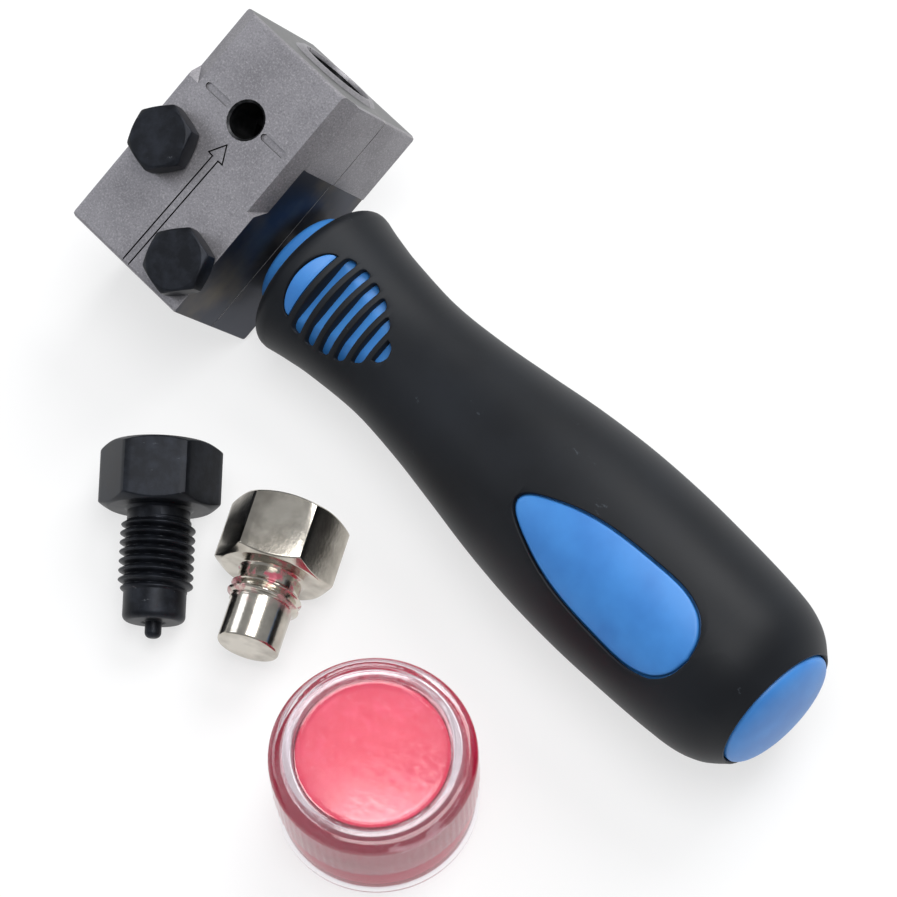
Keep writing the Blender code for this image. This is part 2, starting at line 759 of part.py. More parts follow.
def teardrop(name, side, shrink):
    # Prism over the teardrop window, made smaller all round by the shrink
    upper = []
    for length_share, width_share in smooth_path(TEARDROP_OUTLINE_SHARES, TEARDROP_OUTLINE_STEPS):
        along = TEARDROP_START + shrink + (TEARDROP_LENGTH - 2 * shrink) * length_share
        upper.append((along, (TEARDROP_HALF_WIDTH - shrink) * width_share))
    outline = [(x, TEARDROP_SIDE_SHIFT + y) for x, y in upper]
    outline += [(x, TEARDROP_SIDE_SHIFT - y) for x, y in upper[-2:0:-1]]
    return about_handle(extruded(name, outline, 0.0, BULB_RADIUS + OVERRUN), side)


def raised_form(name, start, end, recess, plan):
    # Part of the core that comes up through the rubber, over a plan prism
    outline = []
    for place, radius in grip_outline(GRIP_OUTLINE_STEPS):
        if start - BED_MARGIN < place < end + BED_MARGIN:
            outline.append((place, radius - recess))
    return keep_inside(on_handle_axis(turned(name, outline, GRIP_STEPS)), plan)


def slot_outline(index, shrink):
    # Plan outline of one grip slot: a bar, or a half moon at either end of the group
    centre = FIRST_SLOT_PLACE + index * SLOT_PITCH
    half_width = SLOT_WIDTH / 2
    half_span = SLOT_HALF_SPAN * SLOT_SPAN_SHARES[index]
    if index in (0, SLOT_COUNT - 1):
        bulge = -1 if index == 0 else 1
        bulge_share = LAST_MOON_BULGE_SHARE if index else FIRST_MOON_BULGE_SHARE
        chord = centre - bulge * (half_width - shrink)
        depth = bulge * (SLOT_WIDTH * bulge_share - 2 * shrink)
        half_span -= shrink
        points = []
        for step in range(2 * ROUND_STEPS + 1):
            angle = math.pi * step / (2 * ROUND_STEPS)
            points.append((chord + depth * math.sin(angle), -half_span * math.cos(angle)))
        return points
    corner = half_width * SLOT_CORNER_SHARE
    points = []
    for x_sign, y_sign, first in ((1, 1, 0.0), (-1, 1, 0.5), (-1, -1, 1.0), (1, -1, 1.5)):
        for step in range(ROUND_STEPS):
            angle = math.pi * (first + step / (ROUND_STEPS - 1) / 2)
            x = centre + x_sign * (half_width - corner) + corner * math.cos(angle)
            y = y_sign * (half_span - corner) + corner * math.sin(angle)
            points.append((x, y))
    return points


def slot_prism(index, side, shrink):
    outline = [(x, SLOT_SIDE_SHIFT + y) for x, y in slot_outline(index, shrink)]
    return about_handle(extruded("slot", outline, 0.0, BULB_RADIUS + OVERRUN), side)


def slot_cutters(side):
    return [slot_prism(index, side, 0.0) for index in range(SLOT_COUNT)]


def make_handle_shank(frame):
    radius = SHANK_DIAMETER / 2
    end = COLLAR_STANDOFF + SHANK_HANDLE_LENGTH
    outline = [(-SHANK_THREAD_LENGTH, radius - SHANK_END_CHAMFER)]
    outline.append((-SHANK_THREAD_LENGTH + SHANK_END_CHAMFER, radius))
    for index in range(ANCHOR_GROOVE_COUNT, 0, -1):
        start = end - index * ANCHOR_GROOVE_PITCH
        outline.append((start, radius))
        outline.append((start, radius - ANCHOR_GROOVE_DEPTH))
        outline.append((start + ANCHOR_GROOVE_WIDTH, radius - ANCHOR_GROOVE_DEPTH))
        outline.append((start + ANCHOR_GROOVE_WIDTH, radius))
    outline.append((end - SHANK_END_CHAMFER, radius))
    outline.append((end, radius - SHANK_END_CHAMFER))
    shank = on_handle_axis(turned("handle_shank", outline, MEDIUM_STEPS))
    return finish(shank, BARE_STEEL, frame)


def make_handle_core(frame):
    core = core_form("handle_core", 0.0, core_outline(0.0) + cap_outline())
    panel_end = TEARDROP_START + TEARDROP_LENGTH
    pad_start, pad_end = FIRST_SLOT_PLACE - SLOT_PITCH, FIRST_SLOT_PLACE + SLOT_PITCH
    for side in (1, -1):
        panel_plan = teardrop("panel_plan", side, PANEL_GROOVE)
        fuse(core, raised_form("panel", TEARDROP_START, panel_end, PANEL_RECESS, panel_plan))
        pad_plan = slot_prism(0, side, PAD_GROOVE)
        fuse(core, raised_form("pad", pad_start, pad_end, PAD_RECESS, pad_plan))
    radius = SHANK_DIAMETER / 2 + FIT_GAP
    end = COLLAR_STANDOFF + SHANK_HANDLE_LENGTH + FIT_GAP
    cut(core, on_handle_axis(turned("shank_bore", ((0.0, radius), (end, radius)), MEDIUM_STEPS)))
    return finish(core, BLUE_PLASTIC, frame)


def make_handle_grip(frame):
    grip = on_handle_axis(turned("handle_grip", grip_outline(GRIP_OUTLINE_STEPS), GRIP_STEPS))
    rim = GRIP_STANDOFF + GRIP_LENGTH
    cavity = core_outline(FIT_GAP) + [(rim + OVERRUN, CAP_RADIUS + FIT_GAP)]
    cut(grip, core_form("cavity", FIT_GAP, cavity))
    for side in (1, -1):
        cut(grip, teardrop("window", side, 0.0), *slot_cutters(side))
    return finish(grip, BLACK_RUBBER, frame)


# Grease pot

def make_jar(frame):
    foot = JAR_FOOT_DIAMETER / 2
    body = JAR_BODY_DIAMETER / 2
    top = POT_HEIGHT - LID_TOP - LID_RING_HEIGHT - FIT_GAP
    outline = (
        (0.0, foot - JAR_EDGE),
        (JAR_EDGE, foot),
        (JAR_FOOT_HEIGHT - JAR_EDGE, foot),
        (JAR_FOOT_HEIGHT, body),
        (JAR_SHOULDER_HEIGHT - JAR_EDGE, body),
        (JAR_SHOULDER_HEIGHT, body - JAR_EDGE),
        (JAR_SHOULDER_HEIGHT, JAR_NECK_RADIUS),
        (top, JAR_NECK_RADIUS),
    )
    jar = turned("grease_jar", outline, FINE_STEPS)
    hollow = ((JAR_FLOOR, JAR_INNER_RADIUS), (top + OVERRUN, JAR_INNER_RADIUS))
    cut(jar, turned("jar_hollow", hollow, FINE_STEPS))
    return finish(jar, CLEAR_PLASTIC, frame)


def make_lid(frame):
    rim = LID_DIAMETER / 2
    ring = LID_RING_DIAMETER / 2
    window = ring - LID_RING_WIDTH
    bottom = JAR_SHOULDER_HEIGHT + FIT_GAP
    plate_top = POT_HEIGHT - LID_RING_HEIGHT
    plate_bottom = plate_top - LID_TOP
    outline = [(bottom, rim)]
    for step in range(ROUND_STEPS + 1):
        angle = math.pi / 2 * step / ROUND_STEPS
        height = plate_top - LID_SHOULDER * (1 - math.sin(angle))
        outline.append((height, rim - (rim - ring) * (1 - math.cos(angle))))
    outline += [(POT_HEIGHT, ring), (POT_HEIGHT, window), (plate_top, window - LID_RING_HEIGHT)]
    lid = turned("grease_lid", outline, FINE_STEPS)
    inside = rim - LID_WALL
    hollow = ((bottom - OVERRUN, inside), (plate_bottom - LID_SHOULDER, inside), (plate_bottom, ring))
    cut(lid, turned("lid_hollow", hollow, FINE_STEPS))
    return finish(lid, CLEAR_PLASTIC, frame)


def make_grease(frame):
    radius = JAR_INNER_RADIUS - FIT_GAP
    bottom = JAR_FLOOR + FIT_GAP
    top = JAR_FLOOR + GREASE_HEIGHT
    outline = ((bottom, radius), (top - GREASE_CROWN, radius), (top, radius - GREASE_CROWN))
    return finish(turned("grease_fill", outline, FINE_STEPS), PINK_GREASE, frame)


# Placing the kit on the floor

def resting_turns():
    # Roll and tilt at which the tool lies on the grip's lip, its bulb and the block's lowest corner
    outline = grip_outline(1)
    waist = GRIP_STANDOFF + GRIP_LENGTH * LIP_SHARE
    front = [point for point in outline if point[0] < waist]
    lip_place, lip_radius = max(front, key=lambda point: point[1])
    beyond = [point for point in outline if point[0] > waist]
    tilt = max(math.atan2(radius - lip_radius, place - lip_place) for place, radius in beyond)
    across = HALF_LENGTH + HANDLE_PLACE - CAST_EDGE_RADIUS
    below = REAR_JAW_DEPTH + HANDLE_DEPTH - CAST_EDGE_RADIUS
    back = NEAR_SIDE + lip_place - FAR_SIDE - CAST_EDGE_RADIUS
    reach = lip_radius - back * math.tan(tilt) - CAST_EDGE_RADIUS / math.cos(tilt)
    roll = math.asin(reach / math.hypot(across, below)) - math.atan2(below, across)
    return roll, tilt


def lay_screw(frame, place, heading, dip):
    # Points a screw's tip along the heading, with a flat of its head underneath
    lying = Matrix.Rotation(dip - math.pi / 2, 4, "Y")
    turned_round = Matrix.Rotation(heading, 4, "Z")
    frame.matrix_world = Matrix.Translation((place[0], place[1], 0.0)) @ turned_round @ lying


def world_corners(items):
    bpy.context.view_layer.update()
    points = []
    for item in items:
        points += [item.matrix_world @ vertex.co for vertex in item.data.vertices]
    low = Vector([min(point[axis] for point in points) for axis in range(3)])
    high = Vector([max(point[axis] for point in points) for axis in range(3)])
    return low, high


def drop_to_floor(frame):
    low, high = world_corners([item for item in frame.children_recursive if item.type == "MESH"])
    frame.location.z -= low.z


def centre_on_origin(frames):
    meshes = [item for item in bpy.data.objects if item.type == "MESH"]
    low, high = world_corners(meshes)
    for frame in frames:
        frame.location.x -= (low.x + high.x) / 2
        frame.location.y -= (low.y + high.y) / 2


def build_tool():
    frame = add_empty("tool_frame")
    make_rear_jaw(frame)
    make_front_jaw(frame)
    for name, place in zip(("clamp_bolt_upper", "clamp_bolt_lower"), bolt_places()):
        make_clamp_bolt(name, place, frame)
    for name, place in zip(("dowel_pin_upper", "dowel_pin_lower"), dowel_places()):
        make_dowel_pin(name, place, frame)
    make_handle_shank(frame)
    make_handle_core(frame)
    make_handle_grip(frame)
    roll, tilt = resting_turns()
    frame.rotation_euler = (roll, -tilt, 0.0)
    return frame


def build_loose_pieces():
    punch_frame = add_empty("punch_frame")
    make_punch(punch_frame)
    drop = PUNCH_FLATS / 2 - PUNCH_NOSE_DIAMETER / 2
    dip = math.atan2(drop, PUNCH_REACH - PUNCH_NOSE_FILLET)
    lay_screw(punch_frame, PUNCH_PLACE, PUNCH_HEADING, dip)
    stop_frame = add_empty("stop_frame")
    make_stop_screw(stop_frame)
    lay_screw(stop_frame, STOP_PLACE, STOP_HEADING, 0.0)
    pot_frame = add_empty("pot_frame")
    make_jar(pot_frame)
    make_grease(pot_frame)
    make_lid(pot_frame)
    pot_frame.location = (POT_PLACE[0], POT_PLACE[1], 0.0)
    return [punch_frame, stop_frame, pot_frame]


def main():
    clear_scene()
    frames = [build_tool()] + build_loose_pieces()
    for frame in frames:
        drop_to_floor(frame)
    centre_on_origin(frames)
    bpy.context.view_layer.update()


main()
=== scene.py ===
# Brake pipe flaring tool with its punch, stop screw and grease pot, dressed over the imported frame.
# Lengths are in metres, apart from the materials' pattern sizes in millimetres. Every piece of the
# tool is made in the tool's own frame: x along the handle, y towards the punch end of the bore,
# z out of the front face.
import math

import bmesh
import bpy
from mathutils import Euler, Matrix, Vector


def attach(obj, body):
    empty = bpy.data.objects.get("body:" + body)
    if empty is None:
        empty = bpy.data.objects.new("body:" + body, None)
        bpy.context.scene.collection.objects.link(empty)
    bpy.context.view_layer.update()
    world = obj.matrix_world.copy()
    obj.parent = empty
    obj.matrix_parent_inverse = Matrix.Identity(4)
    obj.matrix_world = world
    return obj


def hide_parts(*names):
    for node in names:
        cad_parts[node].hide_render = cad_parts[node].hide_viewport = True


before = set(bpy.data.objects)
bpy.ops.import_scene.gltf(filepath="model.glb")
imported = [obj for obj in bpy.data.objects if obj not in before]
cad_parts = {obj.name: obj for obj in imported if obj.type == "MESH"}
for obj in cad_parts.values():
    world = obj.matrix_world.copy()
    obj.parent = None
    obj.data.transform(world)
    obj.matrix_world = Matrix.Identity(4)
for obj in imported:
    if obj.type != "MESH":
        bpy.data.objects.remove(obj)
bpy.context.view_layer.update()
print("frame loaded")

# How the tool, the loose screws and the pot lie on the floor
lie = {
    "toolPlace": (-0.074268, 0.028443, 0.028359),
    "toolRoll": math.radians(24.7685),
    "toolTilt": math.radians(2.1756),
    "punchPlace": (-0.035768, -0.032857, 0.011313),
    "punchHeading": math.radians(-45.0),
    "punchDip": math.radians(11.669),
    "stopPlace": (-0.007768, -0.025857, 0.0115),
    "stopHeading": math.radians(-59.2),
    "potPlace": (0.040832, -0.040257, 0.0),
}


def layScrew(place, heading, dip):
    # Tip along the heading, head behind it, one flat of the head underneath
    turned = Matrix.Rotation(heading, 4, "Z") @ Matrix.Rotation(dip - math.pi / 2, 4, "Y")
    return Matrix.Translation(place) @ turned


toolTurn = Euler((lie["toolRoll"], -lie["toolTilt"], 0)).to_matrix().to_4x4()
toolFrame = Matrix.Translation(lie["toolPlace"]) @ toolTurn
punchFrame = layScrew(lie["punchPlace"], lie["punchHeading"], lie["punchDip"])
stopFrame = layScrew(lie["stopPlace"], lie["stopHeading"], 0)
potFrame = Matrix.Translation(lie["potPlace"])


# Materials

def toLinear(hexColour):
    values = [int(hexColour[start:start + 2], 16) / 255 for start in (1, 3, 5)]
    linear = [v / 12.92 if v <= 0.04045 else ((v + 0.055) / 1.055) ** 2.4 for v in values]
    return (*linear, 1.0)


def feed(socket, value):
    # Gives a socket what another node puts out, a hex colour or a plain value
    if isinstance(value, bpy.types.NodeSocket):
        socket.id_data.links.new(value, socket)
    else:
        socket.default_value = toLinear(value) if isinstance(value, str) else value


def feedAll(node, values):
    for name, value in values.items():
        feed(node.inputs[name], value)


def addNode(tree, kind, settings=None):
    # Settings go to the node's inputs by name or number, or else to its own properties
    node = tree.nodes.new(kind)
    for name, value in (settings or {}).items():
        if isinstance(name, int) or name in node.inputs:
            feed(node.inputs[name], value)
        else:
            setattr(node, name, value)
    return node


def coordinates(tree, place=None):
    # Object coordinates, or those of the frame that the piece was made in, whatever way it lies
    where = addNode(tree, "ShaderNodeTexCoord").outputs["Object"]
    if place is None:
        return where
    return addNode(tree, "ShaderNodeMapping", {
        "vector_type": "TEXTURE", "Location": place.to_translation(),
        "Rotation": place.to_euler(), "Vector": where}).outputs["Vector"]


def noise(where, size, detail, roughness=0.5, distortion=0, scale=None, turn=(0, 0, 0)):
    # One patch of the pattern is about so many millimetres, and longer where scale is below one
    tree = where.id_data
    if scale:
        where = addNode(tree, "ShaderNodeMapping", {
            "Scale": scale, "Rotation": turn, "Vector": where}).outputs["Vector"]
    return addNode(tree, "ShaderNodeTexNoise", {
        "Scale": 1000 / size, "Detail": detail, "Roughness": roughness,
        "Distortion": distortion, "Vector": where}).outputs["Fac"]


def remap(source, start, end, low=0, high=1):
    # Values between start and end become low to high
    return addNode(source.id_data, "ShaderNodeMapRange", {
        "From Min": start, "From Max": end, "To Min": low, "To Max": high,
        "Value": source}).outputs["Result"]


def blend(share, first, second):
    return addNode(share.id_data, "ShaderNodeMix", {
        "data_type": "RGBA", 0: share, 6: first, 7: second}).outputs[2]


def calculate(operation, first, second):
    return addNode(first.id_data, "ShaderNodeMath", {
        "operation": operation, 0: first, 1: second}).outputs[0]


def showBlend(share, first, second, output="Material Output"):
    # The surface goes from the first shader to the second
    tree = share.id_data
    mixed = addNode(tree, "ShaderNodeMixShader", {
        0: share, 1: first.outputs[0], 2: second.outputs[0]})
    feed(tree.nodes[output].inputs["Surface"], mixed.outputs[0])


def shaderOf(made):
    return made.node_tree.nodes["Principled BSDF"]


def makeMaterial(name, look, place=None):
    # A pattern holds its size in mm, detail, roughness, distortion, scale and turn. A layer
    # brings in its colour as its pattern goes through a span: from, to, least and most of it.
    # Roughness and relief name a pattern too, with a span, or with a strength and a depth
    made = bpy.data.materials.new(name)
    made.use_nodes = True
    made.diffuse_color = toLinear(look["colour"])
    shader = shaderOf(made)
    feedAll(shader, {"Base Color": look["colour"], **look["plain"]})
    where = coordinates(made.node_tree, place)
    patterns = {key: noise(where, *values) for key, values in look.get("patterns", {}).items()}
    colour = look["colour"]
    for key, span, layer in look.get("layers", ()):
        colour = blend(remap(patterns[key], *span), colour, layer)
        feed(shader.inputs["Base Color"], colour)
    if "roughness" in look:
        key, *span = look["roughness"]
        feed(shader.inputs["Roughness"], remap(patterns[key], *span))
    if "relief" in look:
        key, strength, depth = look["relief"]
        bump = addNode(made.node_tree, "ShaderNodeBump", {
            "Strength": strength, "Distance": depth, "Height": patterns[key]})
        feed(shader.inputs["Normal"], bump.outputs["Normal"])
    return made


# Steel, investment cast and shot blasted: an even warm grey with a fine raised grain that
# scatters the light, a little darker where hands and oil have been. The real grit leaves
# 0.15 mm dimples, drawn coarser so that they show
castSteel = makeMaterial("shotBlastedCastSteel", {
    "colour": "#949296", "plain": {"Metallic": 0.75},
    "patterns": {"grain": (0.4, 3, 0.62), "patches": (14, 4, 0.6)},
    "layers": (("patches", (0.40, 0.72, 0, 0.5), "#6a686c"),
               ("grain", (0.46, 0.26, 0, 0.7), "#6a686c"),
               ("grain", (0.52, 0.78, 0, 0.75), "#bbb8ba")),
    "roughness": ("grain", 0, 1, 0.44, 0.62), "relief": ("grain", 0.55, 0.00006),
})

# The same steel after a finishing cut: smooth, with its colour painted close to black as a painted
# reflection of a dark room, with faint cutter lines along the handle's side and a brown film of old
# oil. Feed marks are about 0.1 mm apart, drawn coarser so that they show
milledSteelPaintedReflection = makeMaterial("milledSteelPaintedReflection", {
    "colour": "#3b3e48", "plain": {"Metallic": 0.9},
    "patterns": {"film": (16, 3), "cutLines": (0.35, 2, 0.5, 0, (1, 0.03, 1))},
    "layers": (("film", (0.48, 0.70), "#69635a"),),
    "roughness": ("film", 0, 1, 0.36, 0.52), "relief": ("cutLines", 0.25, 0.00002),
}, toolFrame)

# Bare steel where an edge has been rubbed bright, duller in patches: partly real wear, partly a
# painted highlight along every broken edge
wornEdgeAndHighlight = makeMaterial("rubbedSteelEdgeAndHighlight", {
    "colour": "#b3b0af", "plain": {"Metallic": 0.9, "Roughness": 0.42},
    "patterns": {"wear": (2.5, 4)}, "layers": (("wear", (0.62, 0.38), "#7d7a7c"),),
})

# Machined steel inside holes and grooves, wet with cutting oil, its near-black colour painted shade
# in these recesses
oiledBorePaintedShade = makeMaterial("oiledBoreSteelPaintedShade", {
    "colour": "#17181a", "plain": {"Metallic": 0.7, "Roughness": 0.36},
    "patterns": {"rings": (1.2, 3)}, "layers": (("rings", (0.45, 0.75), "#3a3a3c"),),
})

# Steel with a hot black oxide finish, oiled: blue-black satin, a dry mottled bloom on the flats
# and pale rubs and nicks where spanners and other parts have touched it. The real etch grain is
# finer than a pixel
blackOxide = makeMaterial("blackOxideSteel", {
    "colour": "#16181d", "plain": {"Metallic": 0.55, "Specular IOR Level": 0.3},
    "patterns": {"bloom": (4, 5, 0.65), "grain": (0.45, 2),
                 "rubs": (1.6, 6, 0.72, 0, (1, 0.3, 1), (0.2, 0.1, 0.7))},
    "layers": (("bloom", (0.42, 0.68), "#262930"), ("rubs", (0.665, 0.76, 0, 0.8), "#7b7e82")),
    "roughness": ("bloom", 0, 1, 0.32, 0.52), "relief": ("grain", 0.3, 0.00003),
}, punchFrame)

# Steel, machined and barrel plated with bright nickel: a warm silver mirror, hammered slightly
# uneven by the barrel
brightNickel = makeMaterial("brightNickelPlate", {
    "colour": "#cfc9be", "plain": {"Metallic": 1.0, "Roughness": 0.17},
    "patterns": {"shade": (7, 3), "hammer": (0.8, 2)},
    "layers": (("shade", (0.40, 0.65), "#a8a298"),), "relief": ("hammer", 0.28, 0.00005),
}, stopFrame)


def smearGrease(made, place):
    # Pink grease only below the head, thickest round the neck and the thread's first turns
    grease = {
        "colour": "#c04a63", "pattern": (3.2, 3), "smear": (0.50, 0.60), "top": -0.0002,
        "neck": (-0.0095, -0.0035, 0, 0.9), "metal": (0, 1, 1.0, 0.1),
    }
    shader, where = shaderOf(made), coordinates(made.node_tree, place)
    height = addNode(made.node_tree, "ShaderNodeSeparateXYZ", {"Vector": where}).outputs["Z"]
    belowHead = calculate("LESS_THAN", height, grease["top"])
    greased = calculate("MULTIPLY", remap(height, *grease["neck"]), belowHead)
    smear = remap(noise(where, *grease["pattern"]), *grease["smear"])
    mask = calculate("MULTIPLY", greased, smear)
    plated = shader.inputs["Base Color"].links[0].from_socket
    feedAll(shader, {"Base Color": blend(mask, plated, grease["colour"]),
                     "Metallic": remap(mask, *grease["metal"])})


smearGrease(brightNickel, stopFrame)

# Ground steel rod, oiled: even grey with fine rings round it
bareSteel = makeMaterial("groundSteelRod", {
    "colour": "#a3a19e", "plain": {"Metallic": 1.0}, "patterns": {"rings": (0.4, 2)},
    "roughness": ("rings", 0, 1, 0.26, 0.42), "relief": ("rings", 0.2, 0.00002),
})

# Thermoplastic rubber, moulded in a lightly etched tool: soft blue-black satin with a dry bloom
# in places, dust in the grain and a few pale scuffs. Etch grain is 0.1 mm, drawn coarser to show
gripRubber = makeMaterial("mouldedGripRubber", {
    "colour": "#15171b",
    "plain": {"IOR": 1.5, "Specular IOR Level": 0.2, "Sheen Weight": 0.04, "Sheen Roughness": 0.4},
    "patterns": {"bloom": (22, 4), "grain": (0.6, 2),
                 "dust": (5, 8, 0.74, 0, (0.5, 1.2, 1), (0, 0, 0.5))},
    "layers": (("bloom", (0.38, 0.68), "#1b1e23"), ("dust", (0.66, 0.82, 0, 0.8), "#6f7680")),
    "roughness": ("bloom", 0, 1, 0.42, 0.58), "relief": ("grain", 0.22, 0.00003),
}, toolFrame)

# Polypropylene, injection moulded: a clear sky blue with a low waxy shine and slow changes of
# tone from the flow of the plastic
bluePlastic = makeMaterial("mouldedPolypropylene", {
    "colour": "#3f88d2",
    "plain": {"Roughness": 0.42, "IOR": 1.49, "Subsurface Weight": 0.08,
              "Subsurface Radius": (0.0006, 0.0010, 0.0016)},
    "patterns": {"flow": (9, 3), "grain": (0.5, 2)},
    "layers": (("flow", (0.38, 0.66), "#377cc6"),), "relief": ("grain", 0.15, 0.00002),
})

# Punch grease: an opaque raspberry paste, filled by machine, with a wet shine and slow folds
# where it was stirred
pinkGrease = makeMaterial("pinkPunchGrease", {
    "colour": "#dc1f50",
    "plain": {"Roughness": 0.34, "IOR": 1.47, "Subsurface Weight": 0.15,
              "Subsurface Radius": (0.002, 0.0008, 0.0008)},
    "patterns": {"folds": (5, 5, 0.5, 1.2), "fine": (1.1, 3)},
    "layers": (("folds", (0.50, 0.78, 0, 0.8), "#e6406a"),), "relief": ("fine", 0.3, 0.0001),
})

# Polystyrene, injection moulded and handled: clear and glossy with a faint grey cast, and soft
# scratches that break up the highlights
clearPolystyrene = makeMaterial("clearPolystyrene", {
    "colour": "#efeaee", "plain": {"IOR": 1.59, "Transmission Weight": 1.0},
    "patterns": {"scratches": (1.4, 5, 0.6)},
    "roughness": ("scratches", 0.35, 0.75, 0.03, 0.16),
})


def letLampsThrough(made, tint):
    # Lamplight goes straight through, so that the grease inside is lit as it is in daylight
    rays = addNode(made.node_tree, "ShaderNodeLightPath").outputs
    clear = addNode(made.node_tree, "ShaderNodeBsdfTransparent", {"Color": tint})
    showBlend(rays["Is Shadow Ray"], shaderOf(made), clear)


letLampsThrough(clearPolystyrene, (0.93, 0.92, 0.93, 1))
print("materials made")


# Mesh helpers

def quarterTurn(steps):
    return [math.pi / 2 * step / steps for step in range(steps + 1)]


def fullTurn(steps):
    return [2 * math.pi * step / steps for step in range(steps)]


def ringPoint(radius, angle, height):
    return (radius * math.cos(angle), radius * math.sin(angle), height)


def addObject(name, data):
    made = bpy.data.objects.new(name, data)
    bpy.context.collection.objects.link(made)
    return made


def smoothPath(points, steps):
    # Catmull-Rom curve through the points, with so many steps between neighbours
    path = []
    last = len(points) - 1
    for index in range(last):
        before, start = Vector(points[max(index - 1, 0)]), Vector(points[index])
        end, after = Vector(points[index + 1]), Vector(points[min(index + 2, last)])
        for step in range(steps):
            t = step / steps
            bend = (2 * before - 5 * start + 4 * end - after) * t * t
            twist = (3 * start - before - 3 * end + after) * t * t * t
            path.append(tuple((2 * start + (end - before) * t + bend + twist) / 2))
    path.append(tuple(points[last]))
    return path


def valueAt(path, place):
    # Reads a line of (place, value) points at one place
    if place <= path[0][0]:
        return path[0][1]
    for (start, first), (end, second) in zip(path, path[1:]):
        if start <= place <= end and end > start:
            return first + (second - first) * (place - start) / (end - start)
    return path[-1][1]


def softMin(first, second, blend):
    # The smaller of two lengths, with the change from one to the other rounded
    near = max(blend - abs(first - second), 0) / blend
    return min(first, second) - near * near * blend / 4


def roundCorners(points, size, steps=3):
    # Replaces each inner corner of an open line of points with a small curve
    rounded = [tuple(points[0])]
    for before, corner, after in zip(points, points[1:], points[2:]):
        corner = Vector(corner)
        back, ahead = Vector(before) - corner, Vector(after) - corner
        reach = min(size, back.length * 0.45, ahead.length * 0.45)
        start, end = corner + back.normalized() * reach, corner + ahead.normalized() * reach
        for step in range(steps + 1):
            t = step / steps
            rounded.append(tuple(start * (1 - t) ** 2 + corner * 2 * t * (1 - t) + end * t * t))
    rounded.append(tuple(points[-1]))
    return rounded


def joinRows(rows, wrap=True, leaveOut=None):
    # Quads between neighbouring rows of points; leaveOut(row, column) opens a window
    bm = bmesh.new()
    grid = [[bm.verts.new(point) for point in row] for row in rows]
    count = len(rows[0])
    for row in range(len(rows) - 1):
        for column in range(count if wrap else count - 1):
            if leaveOut and leaveOut(row, column):
                continue
            following = (column + 1) % count
            bm.faces.new((grid[row][column], grid[row][following],
                          grid[row + 1][following], grid[row + 1][column]))
    return bm, grid


def finishPiece(name, bm, place, materials, body, nodes, smoothAngle=35):
    # Turns a bmesh into a piece that stands in its own frame and rides on a body
    bmesh.ops.remove_doubles(bm, verts=bm.verts, dist=1e-7)
    bmesh.ops.recalc_face_normals(bm, faces=bm.faces)
    mesh = bpy.data.meshes.new(name)
    bm.to_mesh(mesh)
    bm.free()
    piece = addObject(name, mesh)
    for made in materials:
        mesh.materials.append(made)
    mesh.shade_smooth()
    mesh.set_sharp_from_angle(angle=math.radians(smoothAngle))
    mesh.transform(place)
    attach(piece, body)
    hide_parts(*nodes)


def latheRows(profile, steps):
    # Rows of a turned form about z from (height, radius) points
    return [[ringPoint(radius, angle, height) for angle in fullTurn(steps)]
            for height, radius in profile]


# Screws: hexagon head with turned chamfers, neck, rolled thread, plain nose

headChamfer = math.radians(30)
ridgePower = 0.8  # below one, so that crests are fuller than grooves


def threadSide(screw, angle, place):
    # Radius of a rolled thread at one angle and place, fading out at both ends
    crest, root = screw["threadRadius"], screw["rootRadius"]
    top, bottom = -screw["neckLength"], -screw["neckLength"] - screw["threadLength"]
    turn = place / screw["pitch"] + angle / (2 * math.pi)
    ridge = max(0.5 + 0.5 * math.cos(2 * math.pi * turn), 0) ** ridgePower
    fade = min(1, (top - place) / screw["fade"], (place - bottom) / screw["fade"])
    return root + (crest - root) * ridge * max(fade, 0)


def arcPoints(end, radius, size, steps):
    # Rounded end of a turned piece, from its side round to its face
    return [(end + size * (1 - math.sin(angle)), radius - size * (1 - math.cos(angle)))
            for angle in quarterTurn(steps)]


def screwLine(screw, angle):
    # Outline of the screw at one angle, from the middle of the head's face to the tip
    fromFlat = (angle + math.pi / 6) % (math.pi / 3) - math.pi / 6
    side = softMin(screw["flats"] / 2 / math.cos(fromFlat), screw["corners"] / 2,
                   screw["cornerBlend"])
    face = screw["flats"] / 2 * screw["faceShare"]
    chamfer = (side - face) * math.tan(headChamfer)
    height, neck = screw["headHeight"], screw["neckRadius"]
    head = [(height, face * screw["flatShare"]), (height, face), (height - chamfer, side),
            (chamfer, side), (0, face), (0, neck + screw["neckFillet"]),
            (-screw["neckFillet"], neck)]
    line = [(height, 0)] + roundCorners(head, screw["edge"])
    top, bottom = -screw["neckLength"], -screw["neckLength"] - screw["threadLength"]
    count = int(screw["threadLength"] / screw["pitch"] * screw["stepsPerTurn"])
    for step in range(count + 1):
        place = top + (bottom - top) * step / count
        line.append((place, threadSide(screw, angle, place)))
    return line + screw["tip"]


def makeScrew(name, screw, place, material, body, node):
    lines = [[ringPoint(radius, angle, height) for height, radius in screwLine(screw, angle)]
             for angle in fullTurn(screw["steps"])]
    bm = joinRows([list(row) for row in zip(*lines)])[0]
    finishPiece(name, bm, place, [material], body, [node], 28)


allScrews = {"faceShare": 0.95, "flatShare": 0.94, "cornerBlend": 0.0003, "neckFillet": 0.0006}
punch = allScrews | {
    "flats": 0.023, "corners": 0.0262, "headHeight": 0.0138, "edge": 0.0003,
    "neckRadius": 0.0067, "neckLength": 0.0024, "threadLength": 0.0158, "threadRadius": 0.008,
    "rootRadius": 0.0067, "pitch": 0.002, "fade": 0.0014, "stepsPerTurn": 14, "steps": 120,
    "noseLength": 0.0062, "noseRadius": 0.0067, "noseRound": 0.0014, "runOut": 0.0002,
    "reliefRadii": (0.0028, 0.0023, 0.0020), "reliefDepth": 0.0003,
    "pilotLength": 0.0034, "pilotRadius": 0.00178, "pilotRound": 0.0012,
}
noseTop = -punch["neckLength"] - punch["threadLength"]
noseEnd = noseTop - punch["noseLength"]
pilotEnd = noseEnd - punch["pilotLength"]
reliefRim, reliefOuter, reliefInner = punch["reliefRadii"]
